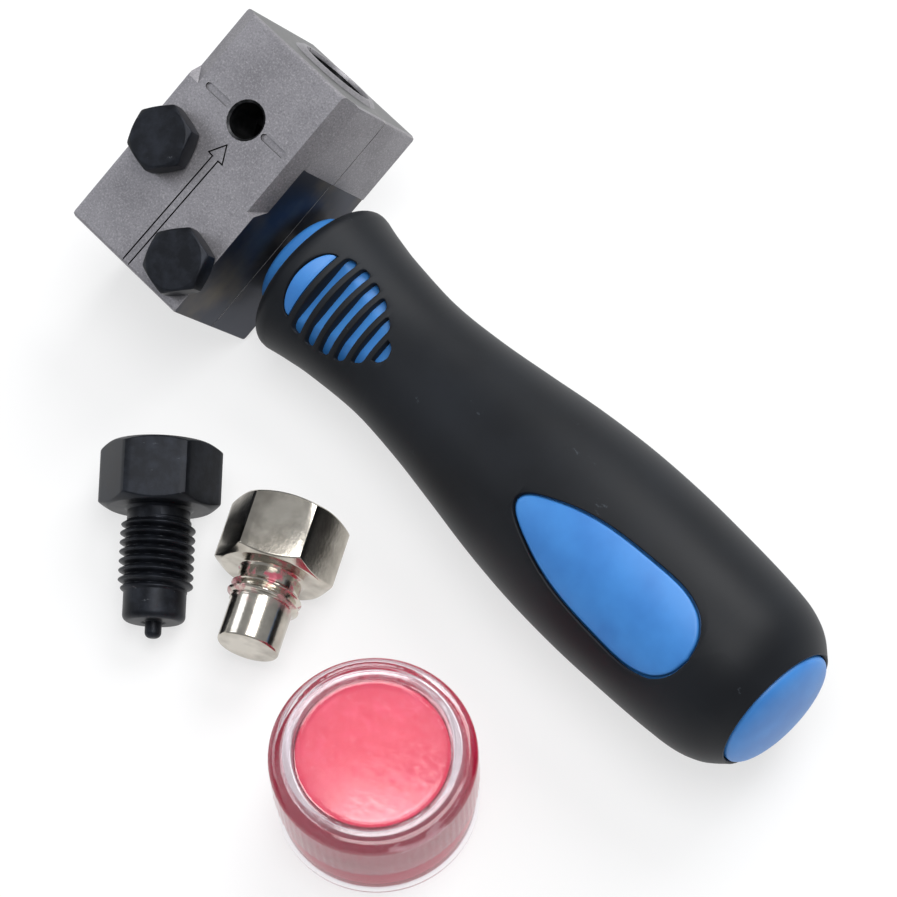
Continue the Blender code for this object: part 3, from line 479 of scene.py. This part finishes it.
reliefFloor = noseEnd + punch["reliefDepth"]
punch["tip"] = [(noseTop - punch["runOut"], punch["noseRadius"])]
punch["tip"] += arcPoints(noseEnd, punch["noseRadius"], punch["noseRound"], 8)
punch["tip"] += [(noseEnd, reliefRim), (reliefFloor, reliefOuter), (reliefFloor, reliefInner),
                 (noseEnd, punch["pilotRadius"])]
punch["tip"] += arcPoints(pilotEnd, punch["pilotRadius"], punch["pilotRound"], 6)
punch["tip"].append((pilotEnd, 0))
makeScrew("punchScrew", punch, punchFrame, blackOxide, "punch", "forming_punch")

stop = allScrews | {
    "flats": 0.023, "corners": 0.0262, "headHeight": 0.0149, "edge": 0.0003,
    "neckRadius": 0.0068, "neckLength": 0.003, "threadLength": 0.0044, "threadRadius": 0.008,
    "rootRadius": 0.0068, "pitch": 0.002, "fade": 0.001, "stepsPerTurn": 14, "steps": 120,
    "noseLength": 0.0095, "noseRadius": 0.00668, "noseRound": 0.0006, "runOut": 0.0003,
    "faceRadius": 0.0055,
}
stopNoseTop = -stop["neckLength"] - stop["threadLength"]
stopEnd = stopNoseTop - stop["noseLength"]
stop["tip"] = [(stopNoseTop - stop["runOut"], stop["noseRadius"])]
stop["tip"] += arcPoints(stopEnd, stop["noseRadius"], stop["noseRound"], 6)
stop["tip"] += [(stopEnd, stop["faceRadius"]), (stopEnd, 0)]
makeScrew("stopScrew", stop, stopFrame, brightNickel, "stop", "stop_screw")

bolt = allScrews | {
    "flats": 0.0134, "corners": 0.01526, "headHeight": 0.0053, "edge": 0.00035, "neckRadius": 0.004,
    "neckLength": 0.012, "threadLength": 0.0172,
    "threadRadius": 0.004, "rootRadius": 0.00335, "pitch": 0.00125, "fade": 0.0008,
    "stepsPerTurn": 8, "steps": 96, "tip": [(-0.0292, 0.0033), (-0.030, 0.0028), (-0.030, 0)],
    "faceHeight": 0.0198, "turn": math.radians(77.5),
}
boltPlaces = {"upper": (-0.0106, -0.0034), "lower": (0.0106, -0.020)}
for side, (across, along) in boltPlaces.items():
    boltPlace = toolFrame @ Matrix.Translation((across, along, bolt["faceHeight"]))
    boltPlace = boltPlace @ Matrix.Rotation(bolt["turn"], 4, "Z")
    makeScrew(f"clampBolt_{side}", bolt, boltPlace, blackOxide, f"bolt_{side}",
              f"clamp_bolt_{side}")
print("screws made")


# Jaws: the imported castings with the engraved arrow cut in, and their hard edges broken

jaws = {
    "frontDepth": 0.0195, "nearSide": 0.01575, "arrowTip": (0.0003, 0.0046),
    "arrowTurn": math.radians(-1.2), "barbs": (0.0022, 0.0037), "shaftHalfWidth": 0.0009,
    "shaftStart": -0.0330, "lineWidth": 0.00034, "lineDepth": 0.0003,
    "flareHeight": 0.0004, "neckGap": 0.0001, "edgeBreak": 0.00014,
    "boreRadius": 0.0085, "boreReach": 0.0292, "holePlace": 0.0112, "holeRadius": 0.0041,
    "holeTop": 0.0191, "carvedDepths": (0.00004, 0.0007), "carvedReach": (0.013, 0.0282),
}


def bakeBoolean(piece, cutter):
    modifier = piece.modifiers.new("cut", "BOOLEAN")
    modifier.operation, modifier.solver, modifier.object = "DIFFERENCE", "EXACT", cutter
    bakeModifiers(piece)
    bpy.data.objects.remove(cutter, do_unlink=True)


def bakeModifiers(piece):
    graph = bpy.context.evaluated_depsgraph_get()
    baked = bpy.data.meshes.new_from_object(piece.evaluated_get(graph))
    piece.modifiers.clear()
    piece.data = baked


def engravedLine(start, end):
    # V-shaped cutter for one engraved line on the front face
    start, end = Vector((*start, 0)), Vector((*end, 0))
    along = (end - start).normalized()
    across = Vector((-along.y, along.x, 0))
    half, deep, above = jaws["lineWidth"] / 2, jaws["lineDepth"], jaws["flareHeight"]
    bm = bmesh.new()
    ends = []
    for point in (start - along * half, end + along * half):
        face = point + Vector((0, 0, jaws["frontDepth"]))
        flare = half * (1 + above / deep)
        ends.append([bm.verts.new(face + across * flare + Vector((0, 0, above))),
                     bm.verts.new(face - Vector((0, 0, deep))),
                     bm.verts.new(face - across * flare + Vector((0, 0, above)))])
    bm.faces.new(ends[0])
    bm.faces.new(ends[1][::-1])
    for side in range(3):
        other = (side + 1) % 3
        bm.faces.new((ends[0][side], ends[1][side], ends[1][other], ends[0][other]))
    bmesh.ops.recalc_face_normals(bm, faces=bm.faces)
    mesh = bpy.data.meshes.new("engravedLine")
    bm.to_mesh(mesh)
    bm.free()
    return addObject("engravedLine", mesh)


def arrowLines():
    # The arrow points along the pipe to the sight hole: two shaft lines and an open head
    tip, turn = Vector(jaws["arrowTip"]), Matrix.Rotation(jaws["arrowTurn"], 2)
    half, (barbAcross, barbBack) = jaws["shaftHalfWidth"], jaws["barbs"]
    neck = -barbBack - jaws["neckGap"]
    shape = []
    for side in (-1, 1):
        shape.append(((side * half, jaws["shaftStart"]), (side * half, neck)))
        shape.append(((side * half, neck), (side * barbAcross, -barbBack)))
        shape.append(((side * barbAcross, -barbBack), (0, 0)))
    return [[tuple(tip + turn @ Vector(point)) for point in line] for line in shape]


def dressJaw(name, node, body, lines):
    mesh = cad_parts[node].data.copy()
    mesh.transform(toolFrame.inverted())
    jaw = addObject(name, mesh)
    bm = bmesh.new()
    bm.from_mesh(mesh)
    bmesh.ops.remove_doubles(bm, verts=bm.verts, dist=1e-6)
    bmesh.ops.dissolve_limit(bm, angle_limit=math.radians(1), verts=bm.verts, edges=bm.edges)
    bm.to_mesh(mesh)
    bm.free()
    for start, end in lines:
        bakeBoolean(jaw, engravedLine(start, end))
    jaw.data.materials.clear()
    for made in (castSteel, wornEdgeAndHighlight, milledSteelPaintedReflection, oiledBorePaintedShade):
        jaw.data.materials.append(made)
    for face in jaw.data.polygons:
        face.material_index = 0
    bevel = jaw.modifiers.new("edges", "BEVEL")
    # The broken edges take the light rubbed steel, partly wear and partly a painted edge highlight
    bevel.width, bevel.segments, bevel.material = jaws["edgeBreak"], 2, 1
    bevel.limit_method, bevel.angle_limit = "ANGLE", math.radians(34)
    bevel.use_clamp_overlap = True
    bakeModifiers(jaw)
    shallow, deep = jaws["carvedDepths"]
    carvedAcross, carvedAlong = jaws["carvedReach"]
    for face in jaw.data.polygons:
        middle, normal = face.center, face.normal
        onMilled = normal.x > 0.98 and abs(middle.x - jaws["nearSide"]) < 0.0001
        inBore = (math.hypot(middle.x, middle.z) < jaws["boreRadius"]
                  and abs(middle.y) < jaws["boreReach"])
        fromHole = math.hypot(middle.x, middle.y - jaws["holePlace"])
        inHole = fromHole < jaws["holeRadius"] and middle.z < jaws["holeTop"]
        carved = (shallow < jaws["frontDepth"] - middle.z < deep and normal.z < 0.95
                  and abs(middle.x) < carvedAcross and abs(middle.y) < carvedAlong)
        # Milled side faces take the steel whose dark colour is a painted reflection
        if onMilled:
            face.material_index = 2
        # Bore, sight hole and carved line and groove faces take the near-black steel, as painted
        # shade
        elif inBore or inHole or carved:
            face.material_index = 3
    jaw.data.shade_smooth()
    jaw.data.set_sharp_from_angle(angle=math.radians(50))
    weighted = jaw.modifiers.new("normals", "WEIGHTED_NORMAL")
    weighted.mode, weighted.weight, weighted.keep_sharp = "FACE_AREA", 100, True
    bakeModifiers(jaw)
    jaw.data.transform(toolFrame)
    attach(jaw, body)
    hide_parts(node)


dressJaw("frontJawCasting", "front_jaw", "front_jaw", arrowLines())
dressJaw("rearJawCasting", "rear_jaw", "tool", [])
print("jaws made")


# Handle: a blue core under a black rubber grip with slots and teardrop windows

handle = {
    "root": (0.01575, -0.0062, -0.00875),  # where the handle's axis leaves the milled side
    "standoff": 0.0068, "length": 0.1408, "bulb": 0.02222, "wall": 0.0019,
    "collarStandoff": 0.0020, "collarRadius": 0.012, "capRadius": 0.0141, "capHeight": 0.00374,
    "outline": (
        (0.0, 0.703), (0.003, 0.790), (0.012, 0.838), (0.023, 0.844), (0.037, 0.825),
        (0.060, 0.796), (0.110, 0.748), (0.205, 0.707), (0.300, 0.749), (0.395, 0.831),
        (0.490, 0.919), (0.590, 0.980), (0.690, 1.000), (0.780, 0.987), (0.870, 0.958),
        (0.930, 0.915), (0.970, 0.824), (1.0, 0.676)),
    "slotPlace": 0.0138, "slotPitch": 0.00392, "slotWidth": 0.0025, "slotSpan": 0.0101,
    "slotShift": -0.0003, "slotShares": (0.84, 0.98, 1.0, 0.93, 0.80, 0.56, 0.27),
    "firstMoonDepth": 0.0040, "lastMoonDepth": 0.0025, "bedDepth": 0.0028, "bedMargin": 0.003,
    "tearPlace": 0.0825, "tearLength": 0.0508, "tearHalfWidth": 0.0105, "tearShift": -0.0023,
    "tearOutline": (
        (0.0, 0.0), (0.010, 0.14), (0.045, 0.30), (0.125, 0.50), (0.250, 0.735), (0.400, 0.90),
        (0.600, 0.985), (0.780, 1.0), (0.890, 0.86), (0.950, 0.64), (0.985, 0.36), (1.0, 0.0)),
    "windowEdge": 0.00025, "rollShares": (0.3, 0.65, 1.05), "tipHalfWidth": 0.0003,
    "padRecess": 0.0003, "padGroove": 0.0003, "padEdge": 0.0002, "padEnd": 0.0002,
    "panelRecess": 0.0005, "panelGroove": 0.0005, "panelEdge": 0.0006,
    "freeHalfWidth": 0.006, "lipDepth": 0.003, "lipRound": 0.0004, "play": 0.0003,
    "shankRadius": 0.0053, "collarChamfer": 0.0008, "collarRound": 0.0006,
    "collarDepth": 0.0027, "bedStep": 0.00002, "barrelEnd": 0.0012, "panelRoot": 0.0002,
    "lipHalfWidth": 0.008, "columnLead": 0.003, "columnGap": 0.005, "columnTail": 0.004,
    "rowGap": 0.00001, "rowSpacing": 0.0003, "tearMargin": 0.001,
    "cellsInside": 22, "cellsOutside": 13, "coreSteps": 160, "panelCells": 30,
}
handleFrame = toolFrame @ Matrix.Translation(handle["root"])
gripPath = [(handle["standoff"] + handle["length"] * a, handle["bulb"] * b)
            for a, b in smoothPath(handle["outline"], 8)]
rim = handle["standoff"] + handle["length"]


def gripRadius(place):
    return valueAt(gripPath, place)


# The flat bed under the slots lies below the middle one
bedHeight = gripRadius(handle["slotPlace"] + 3 * handle["slotPitch"]) - handle["bedDepth"]


def slotWindows():
    # Each window is a list of (place, half width) rows and the sideways shift of its middle
    windows = []
    shares, pitch, half = handle["slotShares"], handle["slotPitch"], handle["slotWidth"] / 2
    centres = [handle["slotPlace"] + index * pitch for index in range(len(shares))]
    envelope = smoothPath([(c, handle["slotSpan"] * s) for c, s in zip(centres, shares)], 6)
    corner = 0.62 * half
    for index, centre in enumerate(centres):
        rows = []
        if index in (0, len(shares) - 1):
            depth = handle["lastMoonDepth"] if index else handle["firstMoonDepth"]
            chord = centre - half if index else centre + half
            for angle in quarterTurn(9):
                away = depth * math.sin(angle) * (1 if index else -1)
                span = handle["slotSpan"] * shares[index] * math.cos(angle)
                rows.append((chord + away, max(span, handle["tipHalfWidth"])))
        else:
            for end in (-1, 1):
                for angle in quarterTurn(3):
                    place = centre + end * (half - corner * (1 - math.sin(angle)))
                    inset = corner * (1 - math.cos(angle))
                    rows.append((place, valueAt(envelope, place) - inset))
        windows.append({"rows": sorted(rows), "shift": handle["slotShift"], "kind": "slot"})
    return windows


def tearRows(shrink):
    start, length = handle["tearPlace"] + shrink, handle["tearLength"] - 2 * shrink
    width = handle["tearHalfWidth"] - shrink
    return [(start + length * a, max(width * b, handle["tipHalfWidth"]))
            for a, b in smoothPath(handle["tearOutline"], 5)]


windows = slotWindows()
windows.append({"rows": tearRows(0), "shift": handle["tearShift"], "kind": "tear"})


def columnTable():
    # (place, half width, shift) that the columns of the grip's grid follow from end to end
    free, slotShift, tearShift = handle["freeHalfWidth"], handle["slotShift"], handle["tearShift"]
    gap, firstSlot = handle["columnGap"], windows[0]["rows"][0][0]
    table = [(0.0, handle["lipHalfWidth"], slotShift),
             (firstSlot - handle["columnLead"], free, slotShift)]
    for window in windows:
        if window["kind"] == "tear":
            lastSlot = windows[-2]["rows"][-1][0]
            first = window["rows"][0][0]
            table += [(lastSlot + gap, free, slotShift), (first - gap, free, tearShift)]
        table += [(place, half, window["shift"]) for place, half in window["rows"]]
    tearEnd = windows[-1]["rows"][-1][0]
    return table + [(tearEnd + handle["columnTail"], free, tearShift), (1.0, free, tearShift)]


gridTable = columnTable()
halfWidths = [(place, half) for place, half, shift in gridTable]
shifts = [(place, shift) for place, half, shift in gridTable]


def windowOutline(window):
    rows, shift = window["rows"], window["shift"]
    return [(p, shift + h) for p, h in rows] + [(p, shift - h) for p, h in reversed(rows)]


def distanceToOutline(outline, x, y):
    best = 1.0
    for (ax, ay), (bx, by) in zip(outline, outline[1:] + outline[:1]):
        dx, dy = bx - ax, by - ay
        length = dx * dx + dy * dy
        t = max(0.0, min(1.0, ((x - ax) * dx + (y - ay) * dy) / length)) if length else 0.0
        best = min(best, math.hypot(x - ax - t * dx, y - ay - t * dy))
    return best


outlines = [windowOutline(window) for window in windows]


def edgeDip(x, y, z):
    # How far the rubber rolls over beside a window, on the front half
    edge = handle["windowEdge"]
    if z < 0:
        return 0.0
    for window, outline in zip(windows, outlines):
        rows = window["rows"]
        if rows[0][0] - edge < x < rows[-1][0] + edge:
            away = distanceToOutline(outline, x, y)
            if away < edge:
                return edge - math.sqrt(max(edge * edge - (edge - away) ** 2, 0))
    return 0.0


def angleAt(across, radius):
    # Kept short of a right angle, where the handle is thinner than a window is wide
    return math.asin(max(-0.95, min(0.95, across / radius)))


def gripColumns(place, radius):
    # Angles from the front of the handle across one half, and which cells lie in a window
    half, shift = valueAt(halfWidths, place), valueAt(shifts, place)
    inside, outside, edge = handle["cellsInside"], handle["cellsOutside"], handle["windowEdge"]
    rightEdge, leftEdge = angleAt(shift + half, radius), angleAt(shift - half, radius)
    angles = [angleAt(shift + half * (2 * step / inside - 1), radius)
              for step in range(inside + 1)]
    rollRight = [rightEdge + edge * share / radius for share in handle["rollShares"]]
    rollLeft = [leftEdge - edge * share / radius for share in handle["rollShares"][::-1]]
    right = [rollRight[-1] + (math.pi / 2 - rollRight[-1]) * step / outside
             for step in range(1, outside)]
    left = [-math.pi / 2 + (rollLeft[0] + math.pi / 2) * step / outside
            for step in range(outside)]
    return left + rollLeft + angles + rollRight + right


def gripPlaces():
    # Places of the grid's rows: dense over the windows and their rolled edges
    fixed = []
    for window in windows:
        rows = [place for place, half in window["rows"]]
        fixed += rows
        for share in handle["rollShares"]:
            roll = handle["windowEdge"] * share
            fixed += [rows[0] - roll, rows[-1] + roll]
    fixed.sort()
    kept = [fixed[0]]
    for place in fixed[1:]:
        if place - kept[-1] > handle["rowGap"]:
            kept.append(place)
    for place, radius in gripPath:
        if min(abs(place - other) for other in kept) > handle["rowSpacing"]:
            kept.append(place)
    return sorted(kept)


def onHandle(place, angle, radius):
    return (place, radius * math.sin(angle), radius * math.cos(angle))


def drawOut(bm, ends=()):
    # Doubles the open edges, apart from those at the ends, and hands over their new corners
    rims = [edge for edge in bm.edges if edge.is_boundary
            and not (edge.verts[0] in ends and edge.verts[1] in ends)]
    made = bmesh.ops.extrude_edge_only(bm, edges=rims)["geom"]
    return [item for item in made if isinstance(item, bmesh.types.BMVert)]


def makeGrip():
    start, play = handle["standoff"], handle["play"]
    deep, soft = handle["lipDepth"], handle["lipRound"]
    front, butt = handle["collarRadius"] + play, handle["capRadius"] + play
    profile = [(start + deep, front), (start + soft, front), (start, front + soft)]
    profile += [(place, gripRadius(place)) for place in gripPlaces()]
    profile += [(rim, butt + play), (rim - play, butt), (rim - deep, butt)]
    rows = []
    for place, radius in profile:
        row = []
        for angle in gripColumns(place, radius):
            x, y, z = onHandle(place, angle, radius)
            row.append(onHandle(place, angle, radius - edgeDip(x, y, z)))
        rows.append(row + [(x, -y, -z) for x, y, z in row])
    halfCount = len(rows[0]) // 2
    firstInside = handle["cellsOutside"] + 3
    lastInside = firstInside + handle["cellsInside"]
    spans = [(w["rows"][0][0] - 1e-6, w["rows"][-1][0] + 1e-6) for w in windows]

    def inWindow(row, column):
        if not firstInside <= column % halfCount < lastInside:
            return False
        low, high = profile[row][0], profile[row + 1][0]
        return any(start <= low and high <= end for start, end in spans)

    bm, grid = joinRows(rows, True, inWindow)
    bed = bedHeight - handle["lipRound"]
    for vertex in drawOut(bm, set(grid[0]) | set(grid[-1])):
        side = 1 if vertex.co.z > 0 else -1
        across, out = abs(vertex.co.y), abs(vertex.co.z)
        if vertex.co.x < handle["tearPlace"] - handle["tearMargin"]:
            barrel = gripRadius(vertex.co.x) - handle["wall"] - play
            barrelHeight = math.sqrt(max(barrel * barrel - across * across, 0))
            vertex.co.z = side * min(bed, barrelHeight)
        else:
            vertex.co.z = side * (out - handle["wall"] - play)
    finishPiece("gripRubber", bm, handleFrame, [gripRubber], "tool", ["handle_grip"],
                50)


def makeCore():
    start, inner = handle["standoff"], handle["shankRadius"]
    collar, radius = handle["collarStandoff"], handle["collarRadius"]
    chamfer, collarEnd = handle["collarChamfer"], start + handle["collarDepth"]
    profile = roundCorners([
        (collar, inner), (collar, radius - chamfer), (collar + chamfer, radius),
        (collarEnd, radius)], handle["collarRound"], 4)
    bedStart = handle["slotPlace"] - handle["bedMargin"]
    lastSlot = handle["slotPlace"] + handle["slotPitch"] * (len(handle["slotShares"]) - 1)
    bedEnd = lastSlot + handle["bedMargin"]
    step = handle["bedStep"]
    barrel = [collarEnd, bedStart - step, bedStart + step, bedEnd - step, bedEnd + step]
    low, high = start + handle["lipDepth"], rim - handle["barrelEnd"]
    barrel += [place for place, other in gripPath if low < place < high]
    profile += [(place, gripRadius(place) - handle["wall"]) for place in sorted(barrel)]
    profile.append((rim - chamfer, handle["capRadius"]))
    for angle in quarterTurn(16):
        profile.append((rim + handle["capHeight"] * math.sin(angle),
                        handle["capRadius"] * math.cos(angle)))
    rows = []
    for place, radius in profile:
        row = []
        for angle in fullTurn(handle["coreSteps"]):
            reach = radius
            if bedStart < place < bedEnd:
                reach = min(radius, bedHeight / max(abs(math.cos(angle)), 0.01))
            row.append(onHandle(place, angle, reach))
        rows.append(row)
    finishPiece("handleCore", joinRows(rows)[0], handleFrame, [bluePlastic], "tool",
                ["handle_core"])


def padRows():
    # The first half moon, made smaller all round by the groove
    groove, rows = handle["padGroove"], windows[0]["rows"]
    first, last = rows[0][0], rows[-1][0]
    shrunk = (last - first - 2 * groove) / (last - first)
    return [(first + groove + (place - first) * shrunk, max(half - groove, handle["padEnd"]))
            for place, half in rows]


def makePanel(name, side, rows, shift, recess, soft):
    # Raised part of the core, with a soft edge, that fills one of the grip's windows
    outline = windowOutline({"rows": rows, "shift": shift})
    cells = handle["panelCells"]
    grid = []
    for place, half in rows:
        top = gripRadius(place) - recess
        row = []
        for step in range(cells + 1):
            across = shift + half * math.sin(math.pi / 2 * (2 * step / cells - 1))
            away = distanceToOutline(outline, place, across)
            drop = soft - math.sqrt(max(soft * soft - max(soft - away, 0) ** 2, 0))
            angle = math.asin(across / top)
            x, y, z = onHandle(place, angle, top - drop)
            row.append((x, side * y, side * z))
        grid.append(row)
    bm = joinRows(grid, False)[0]
    for vertex in drawOut(bm):
        vertex.co.z -= side * (handle["wall"] + handle["panelRoot"])
    finishPiece(name, bm, handleFrame, [bluePlastic], "tool", ["handle_core"],
                60)


makeGrip()
makeCore()
for name, side in (("Front", 1), ("Back", -1)):
    makePanel(f"panel{name}", side, tearRows(handle["panelGroove"]), handle["tearShift"],
              handle["panelRecess"], handle["panelEdge"])
    makePanel(f"pad{name}", side, padRows(), handle["slotShift"], handle["padRecess"],
              handle["padEdge"])
print("handle made")


# Grease pot: jar and screw lid of clear plastic, grease inside

pot = {
    "height": 0.0272, "footRadius": 0.0212, "bodyRadius": 0.0206, "footHeight": 0.0026,
    "shoulderHeight": 0.0122, "wall": 0.0019, "floor": 0.0022, "edge": 0.0006,
    "lidRadius": 0.0215, "lidWall": 0.0018, "lidTop": 0.0014, "lidShoulder": 0.0022,
    "ringRadius": 0.0186, "ringWidth": 0.0022, "ringHeight": 0.0007, "gap": 0.0003,
    "threadDepth": 0.001, "threadPitch": 0.0032, "steps": 144, "ribs": 72, "ribDepth": 0.00014,
    "greaseTop": 0.0232, "greaseRim": ((0.0002, 0), (0, 0.0012), (0, 0.003)),
    "greaseRound": 0.0006, "wetting": 0.0001,
    "dish": 0.0006, "standRing": (0.003, 0.0022), "footStep": 0.0002, "footBlend": 0.0007,
    "nip": 0.0003, "round": 0.0004, "innerRound": 0.0008, "crownRound": 0.0005,
    "neckSteps": 54, "threadCut": 0.35, "threadShare": 0.85, "threadShape": 0.6,
    "threadFade": 0.001, "ringEdge": 0.0002, "plateMargin": 0.0016, "ribTop": 0.8,
    "ribFade": 0.0012,
    # How far the seal under the lid hangs down, and how far inside the jar's wall
    "seal": ((0, 0.0024), (0, 0.0012), (0.0003, 0.0009), (0.0003, 0.0005), (0, 0.0002)),
}
neckRadius = pot["lidRadius"] - pot["lidWall"] - pot["gap"] - pot["threadDepth"]
jarInside = neckRadius - pot["wall"]


def makeJar():
    top = pot["height"] - pot["lidTop"] - pot["ringHeight"] - pot["gap"]
    foot, body, edge, soft = pot["footRadius"], pot["bodyRadius"], pot["edge"], pot["round"]
    shoulder, footTop, dish = pot["shoulderHeight"], pot["footHeight"], pot["dish"]
    standInner, standOuter = pot["standRing"]
    outside = roundCorners([
        (dish, 0), (dish, foot - standInner), (0, foot - standOuter), (0, foot - edge / 2),
        (edge, foot), (footTop - edge, foot), (footTop, body - pot["footStep"]),
        (footTop + pot["footBlend"], body), (shoulder - edge, body), (shoulder, body - edge),
        (shoulder, neckRadius)], soft)
    inside = roundCorners([
        (top, neckRadius - soft), (top, jarInside + pot["nip"]), (top - soft, jarInside),
        (pot["floor"], jarInside), (pot["floor"], 0)], pot["innerRound"])
    rows = latheRows(outside, pot["steps"])
    cut, fadeLength = pot["threadCut"], pot["threadFade"]
    for step in range(1, pot["neckSteps"] + 1):
        height = shoulder + (top - shoulder) * step / pot["neckSteps"]
        row = []
        for angle in fullTurn(pot["steps"]):
            turn = height / pot["threadPitch"] - angle / (2 * math.pi)
            ridge = max(0.0, math.cos(2 * math.pi * turn) - cut) / (1 - cut)
            fade = max(0.0, min(1.0, (height - shoulder) / fadeLength, (top - height) / fadeLength))
            depth = pot["threadDepth"] * pot["threadShare"]
            radius = neckRadius + depth * ridge ** pot["threadShape"] * fade
            row.append(ringPoint(radius, angle, height))
        rows.append(row)
    rows += latheRows(inside, pot["steps"])
    finishPiece("greaseJar", joinRows(rows)[0], potFrame, [clearPolystyrene], "jar",
                ["grease_jar"])


def makeLid():
    rimRadius, ring, nip, soft = pot["lidRadius"], pot["ringRadius"], pot["nip"], pot["round"]
    window, bottom = ring - pot["ringWidth"], pot["shoulderHeight"] + pot["gap"]
    top, plateTop = pot["height"], pot["height"] - pot["ringHeight"]
    plateBottom, dome = plateTop - pot["lidTop"], pot["lidShoulder"]
    outside = [(bottom, rimRadius - nip), (bottom + nip, rimRadius)]
    for angle in quarterTurn(10):
        outside.append((plateTop - dome * (1 - math.sin(angle)),
                        rimRadius - (rimRadius - ring - soft) * (1 - math.cos(angle))))
    crown = roundCorners([
        (plateTop, ring + soft), (top, ring - pot["ringEdge"]), (top, window + nip),
        (plateTop, window - soft), (plateTop, window - pot["plateMargin"])], pot["crownRound"])
    crown.append((plateTop, 0))
    inner = rimRadius - pot["lidWall"]
    seal = [(plateBottom - drop, jarInside - inset) for drop, inset in pot["seal"]]
    under = [(plateBottom, 0)] + roundCorners(seal + [
        (plateBottom, ring), (plateBottom - dome, inner), (bottom + nip, inner),
        (bottom, inner + nip), (bottom, rimRadius - nip)], soft)
    rows = latheRows(outside, pot["steps"] * 2)
    ribbed = []
    for row in rows:
        made = []
        for x, y, height in row:
            angle = math.atan2(y, x)
            rib = pot["ribDepth"] * (0.5 - 0.5 * math.cos(pot["ribs"] * angle))
            fade = (plateTop - dome * pot["ribTop"] - height) / pot["ribFade"]
            fade = max(0.0, min(1.0, fade))
            scale = 1 - rib * fade / math.hypot(x, y)
            made.append((x * scale, y * scale, height))
        ribbed.append(made)
    rows = ribbed + latheRows(crown, pot["steps"] * 2) + latheRows(under, pot["steps"] * 2)
    finishPiece("greaseLid", joinRows(rows)[0], potFrame, [clearPolystyrene], "lid",
                ["grease_lid"])


def makeGrease():
    # The paste wets the wall, so it reaches a little way into the plastic and leaves no air gap
    radius, bottom = jarInside + pot["wetting"], pot["floor"] - pot["wetting"]
    top = pot["greaseTop"]
    edge = [(top - drop, radius - inset) for drop, inset in pot["greaseRim"]]
    profile = roundCorners([(bottom, 0), (bottom, radius)] + edge, pot["greaseRound"])
    profile.append((top, 0))
    bm = joinRows(latheRows(profile, pot["steps"]))[0]
    finishPiece("greaseFill", bm, potFrame, [pinkGrease], "jar", ["grease_fill"])


makeJar()
makeLid()
makeGrease()
print("pot made")

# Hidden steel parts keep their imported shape
for node in ("dowel_pin_upper", "dowel_pin_lower", "handle_shank"):
    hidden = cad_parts[node].data
    hidden.materials.clear()
    hidden.materials.append(bareSteel)


# Floor, light and camera

stage = {
    "floorColour": "#f4f4f4", "floorSize": 3.0, "whiteShare": 0.66,
    "skyColour": "#eef1f5", "skyStrength": 0.42, "lampAim": (0, 0, 0.01),
    "lamps": (
        # place, size, watts, colour
        ((0.10, 0.05, 1.10), 0.60, 6.0, "#ffffff"),
        ((-0.15, 0.75, 0.80), 0.60, 7.6, "#ffffff"),
        ((-0.70, -0.40, 0.50), 0.40, 1.3, "#f4f8ff"),
    ),
}


def makeFloor():
    paper = makeMaterial("paperBackdrop", {
        "colour": stage["floorColour"], "plain": {"Roughness": 0.9}})
    # Part of the floor's white is its own glow, as far as eyes and mirrors see it
    tree = paper.node_tree
    rays = addNode(tree, "ShaderNodeLightPath").outputs
    seen = calculate("MAXIMUM", rays["Is Camera Ray"], rays["Is Glossy Ray"])
    seenAny = calculate("MAXIMUM", seen, rays["Is Transmission Ray"])
    share = calculate("MULTIPLY", seenAny, stage["whiteShare"])
    glow = addNode(tree, "ShaderNodeEmission", {"Color": "#ffffff", "Strength": 1.0})
    showBlend(share, shaderOf(paper), glow)
    half = stage["floorSize"] / 2
    mesh = bpy.data.meshes.new("floor")
    mesh.from_pydata([(-half, -half, 0), (half, -half, 0), (half, half, 0), (-half, half, 0)],
                     [], [(0, 1, 2, 3)])
    mesh.materials.append(paper)
    floor = addObject("floor", mesh)


def makeLight():
    world = bpy.data.worlds.new("studio")
    bpy.context.scene.world = world
    world.use_nodes = True
    tree = world.node_tree
    sky = tree.nodes["Background"]
    feedAll(sky, {"Color": stage["skyColour"], "Strength": stage["skyStrength"]})
    rays = addNode(tree, "ShaderNodeLightPath").outputs
    white = addNode(tree, "ShaderNodeBackground", {"Color": "#ffffff", "Strength": 1.0})
    showBlend(rays["Is Camera Ray"], sky, white, "World Output")
    for index, (place, size, watts, colour) in enumerate(stage["lamps"]):
        lamp = bpy.data.lights.new(f"softbox{index}", "AREA")
        lamp.shape, lamp.size, lamp.energy = "SQUARE", size, watts
        lamp.color = toLinear(colour)[:3]
        holder = addObject(lamp.name, lamp)
        holder.location = place
        aim = Vector(stage["lampAim"]) - Vector(place)
        holder.rotation_euler = aim.to_track_quat("-Z", "Y").to_euler()


def makeCamera():
    view = {
        "eye": (0.3081, -0.22931, 0.88115), "forward": (-0.32595, 0.26174, -0.90845),
        "up": (-0.66, 0.62508, 0.41687), "lens": 180.6, "sensor": 36,
        "clip": (0.05, 10),
    }
    camera = bpy.data.cameras.new("camera")
    camera.lens, camera.sensor_width = view["lens"], view["sensor"]
    camera.clip_start, camera.clip_end = view["clip"]
    holder = addObject("camera", camera)
    back = -Vector(view["forward"]).normalized()
    right = Vector(view["up"]).cross(back).normalized()
    up = back.cross(right)
    turn = Matrix((right, up, back)).transposed().to_4x4()
    holder.matrix_world = Matrix.Translation(view["eye"]) @ turn
    bpy.context.scene.camera = holder


makeFloor()
makeLight()
makeCamera()
bpy.context.scene.view_settings.view_transform = "Standard"
print("stage made")
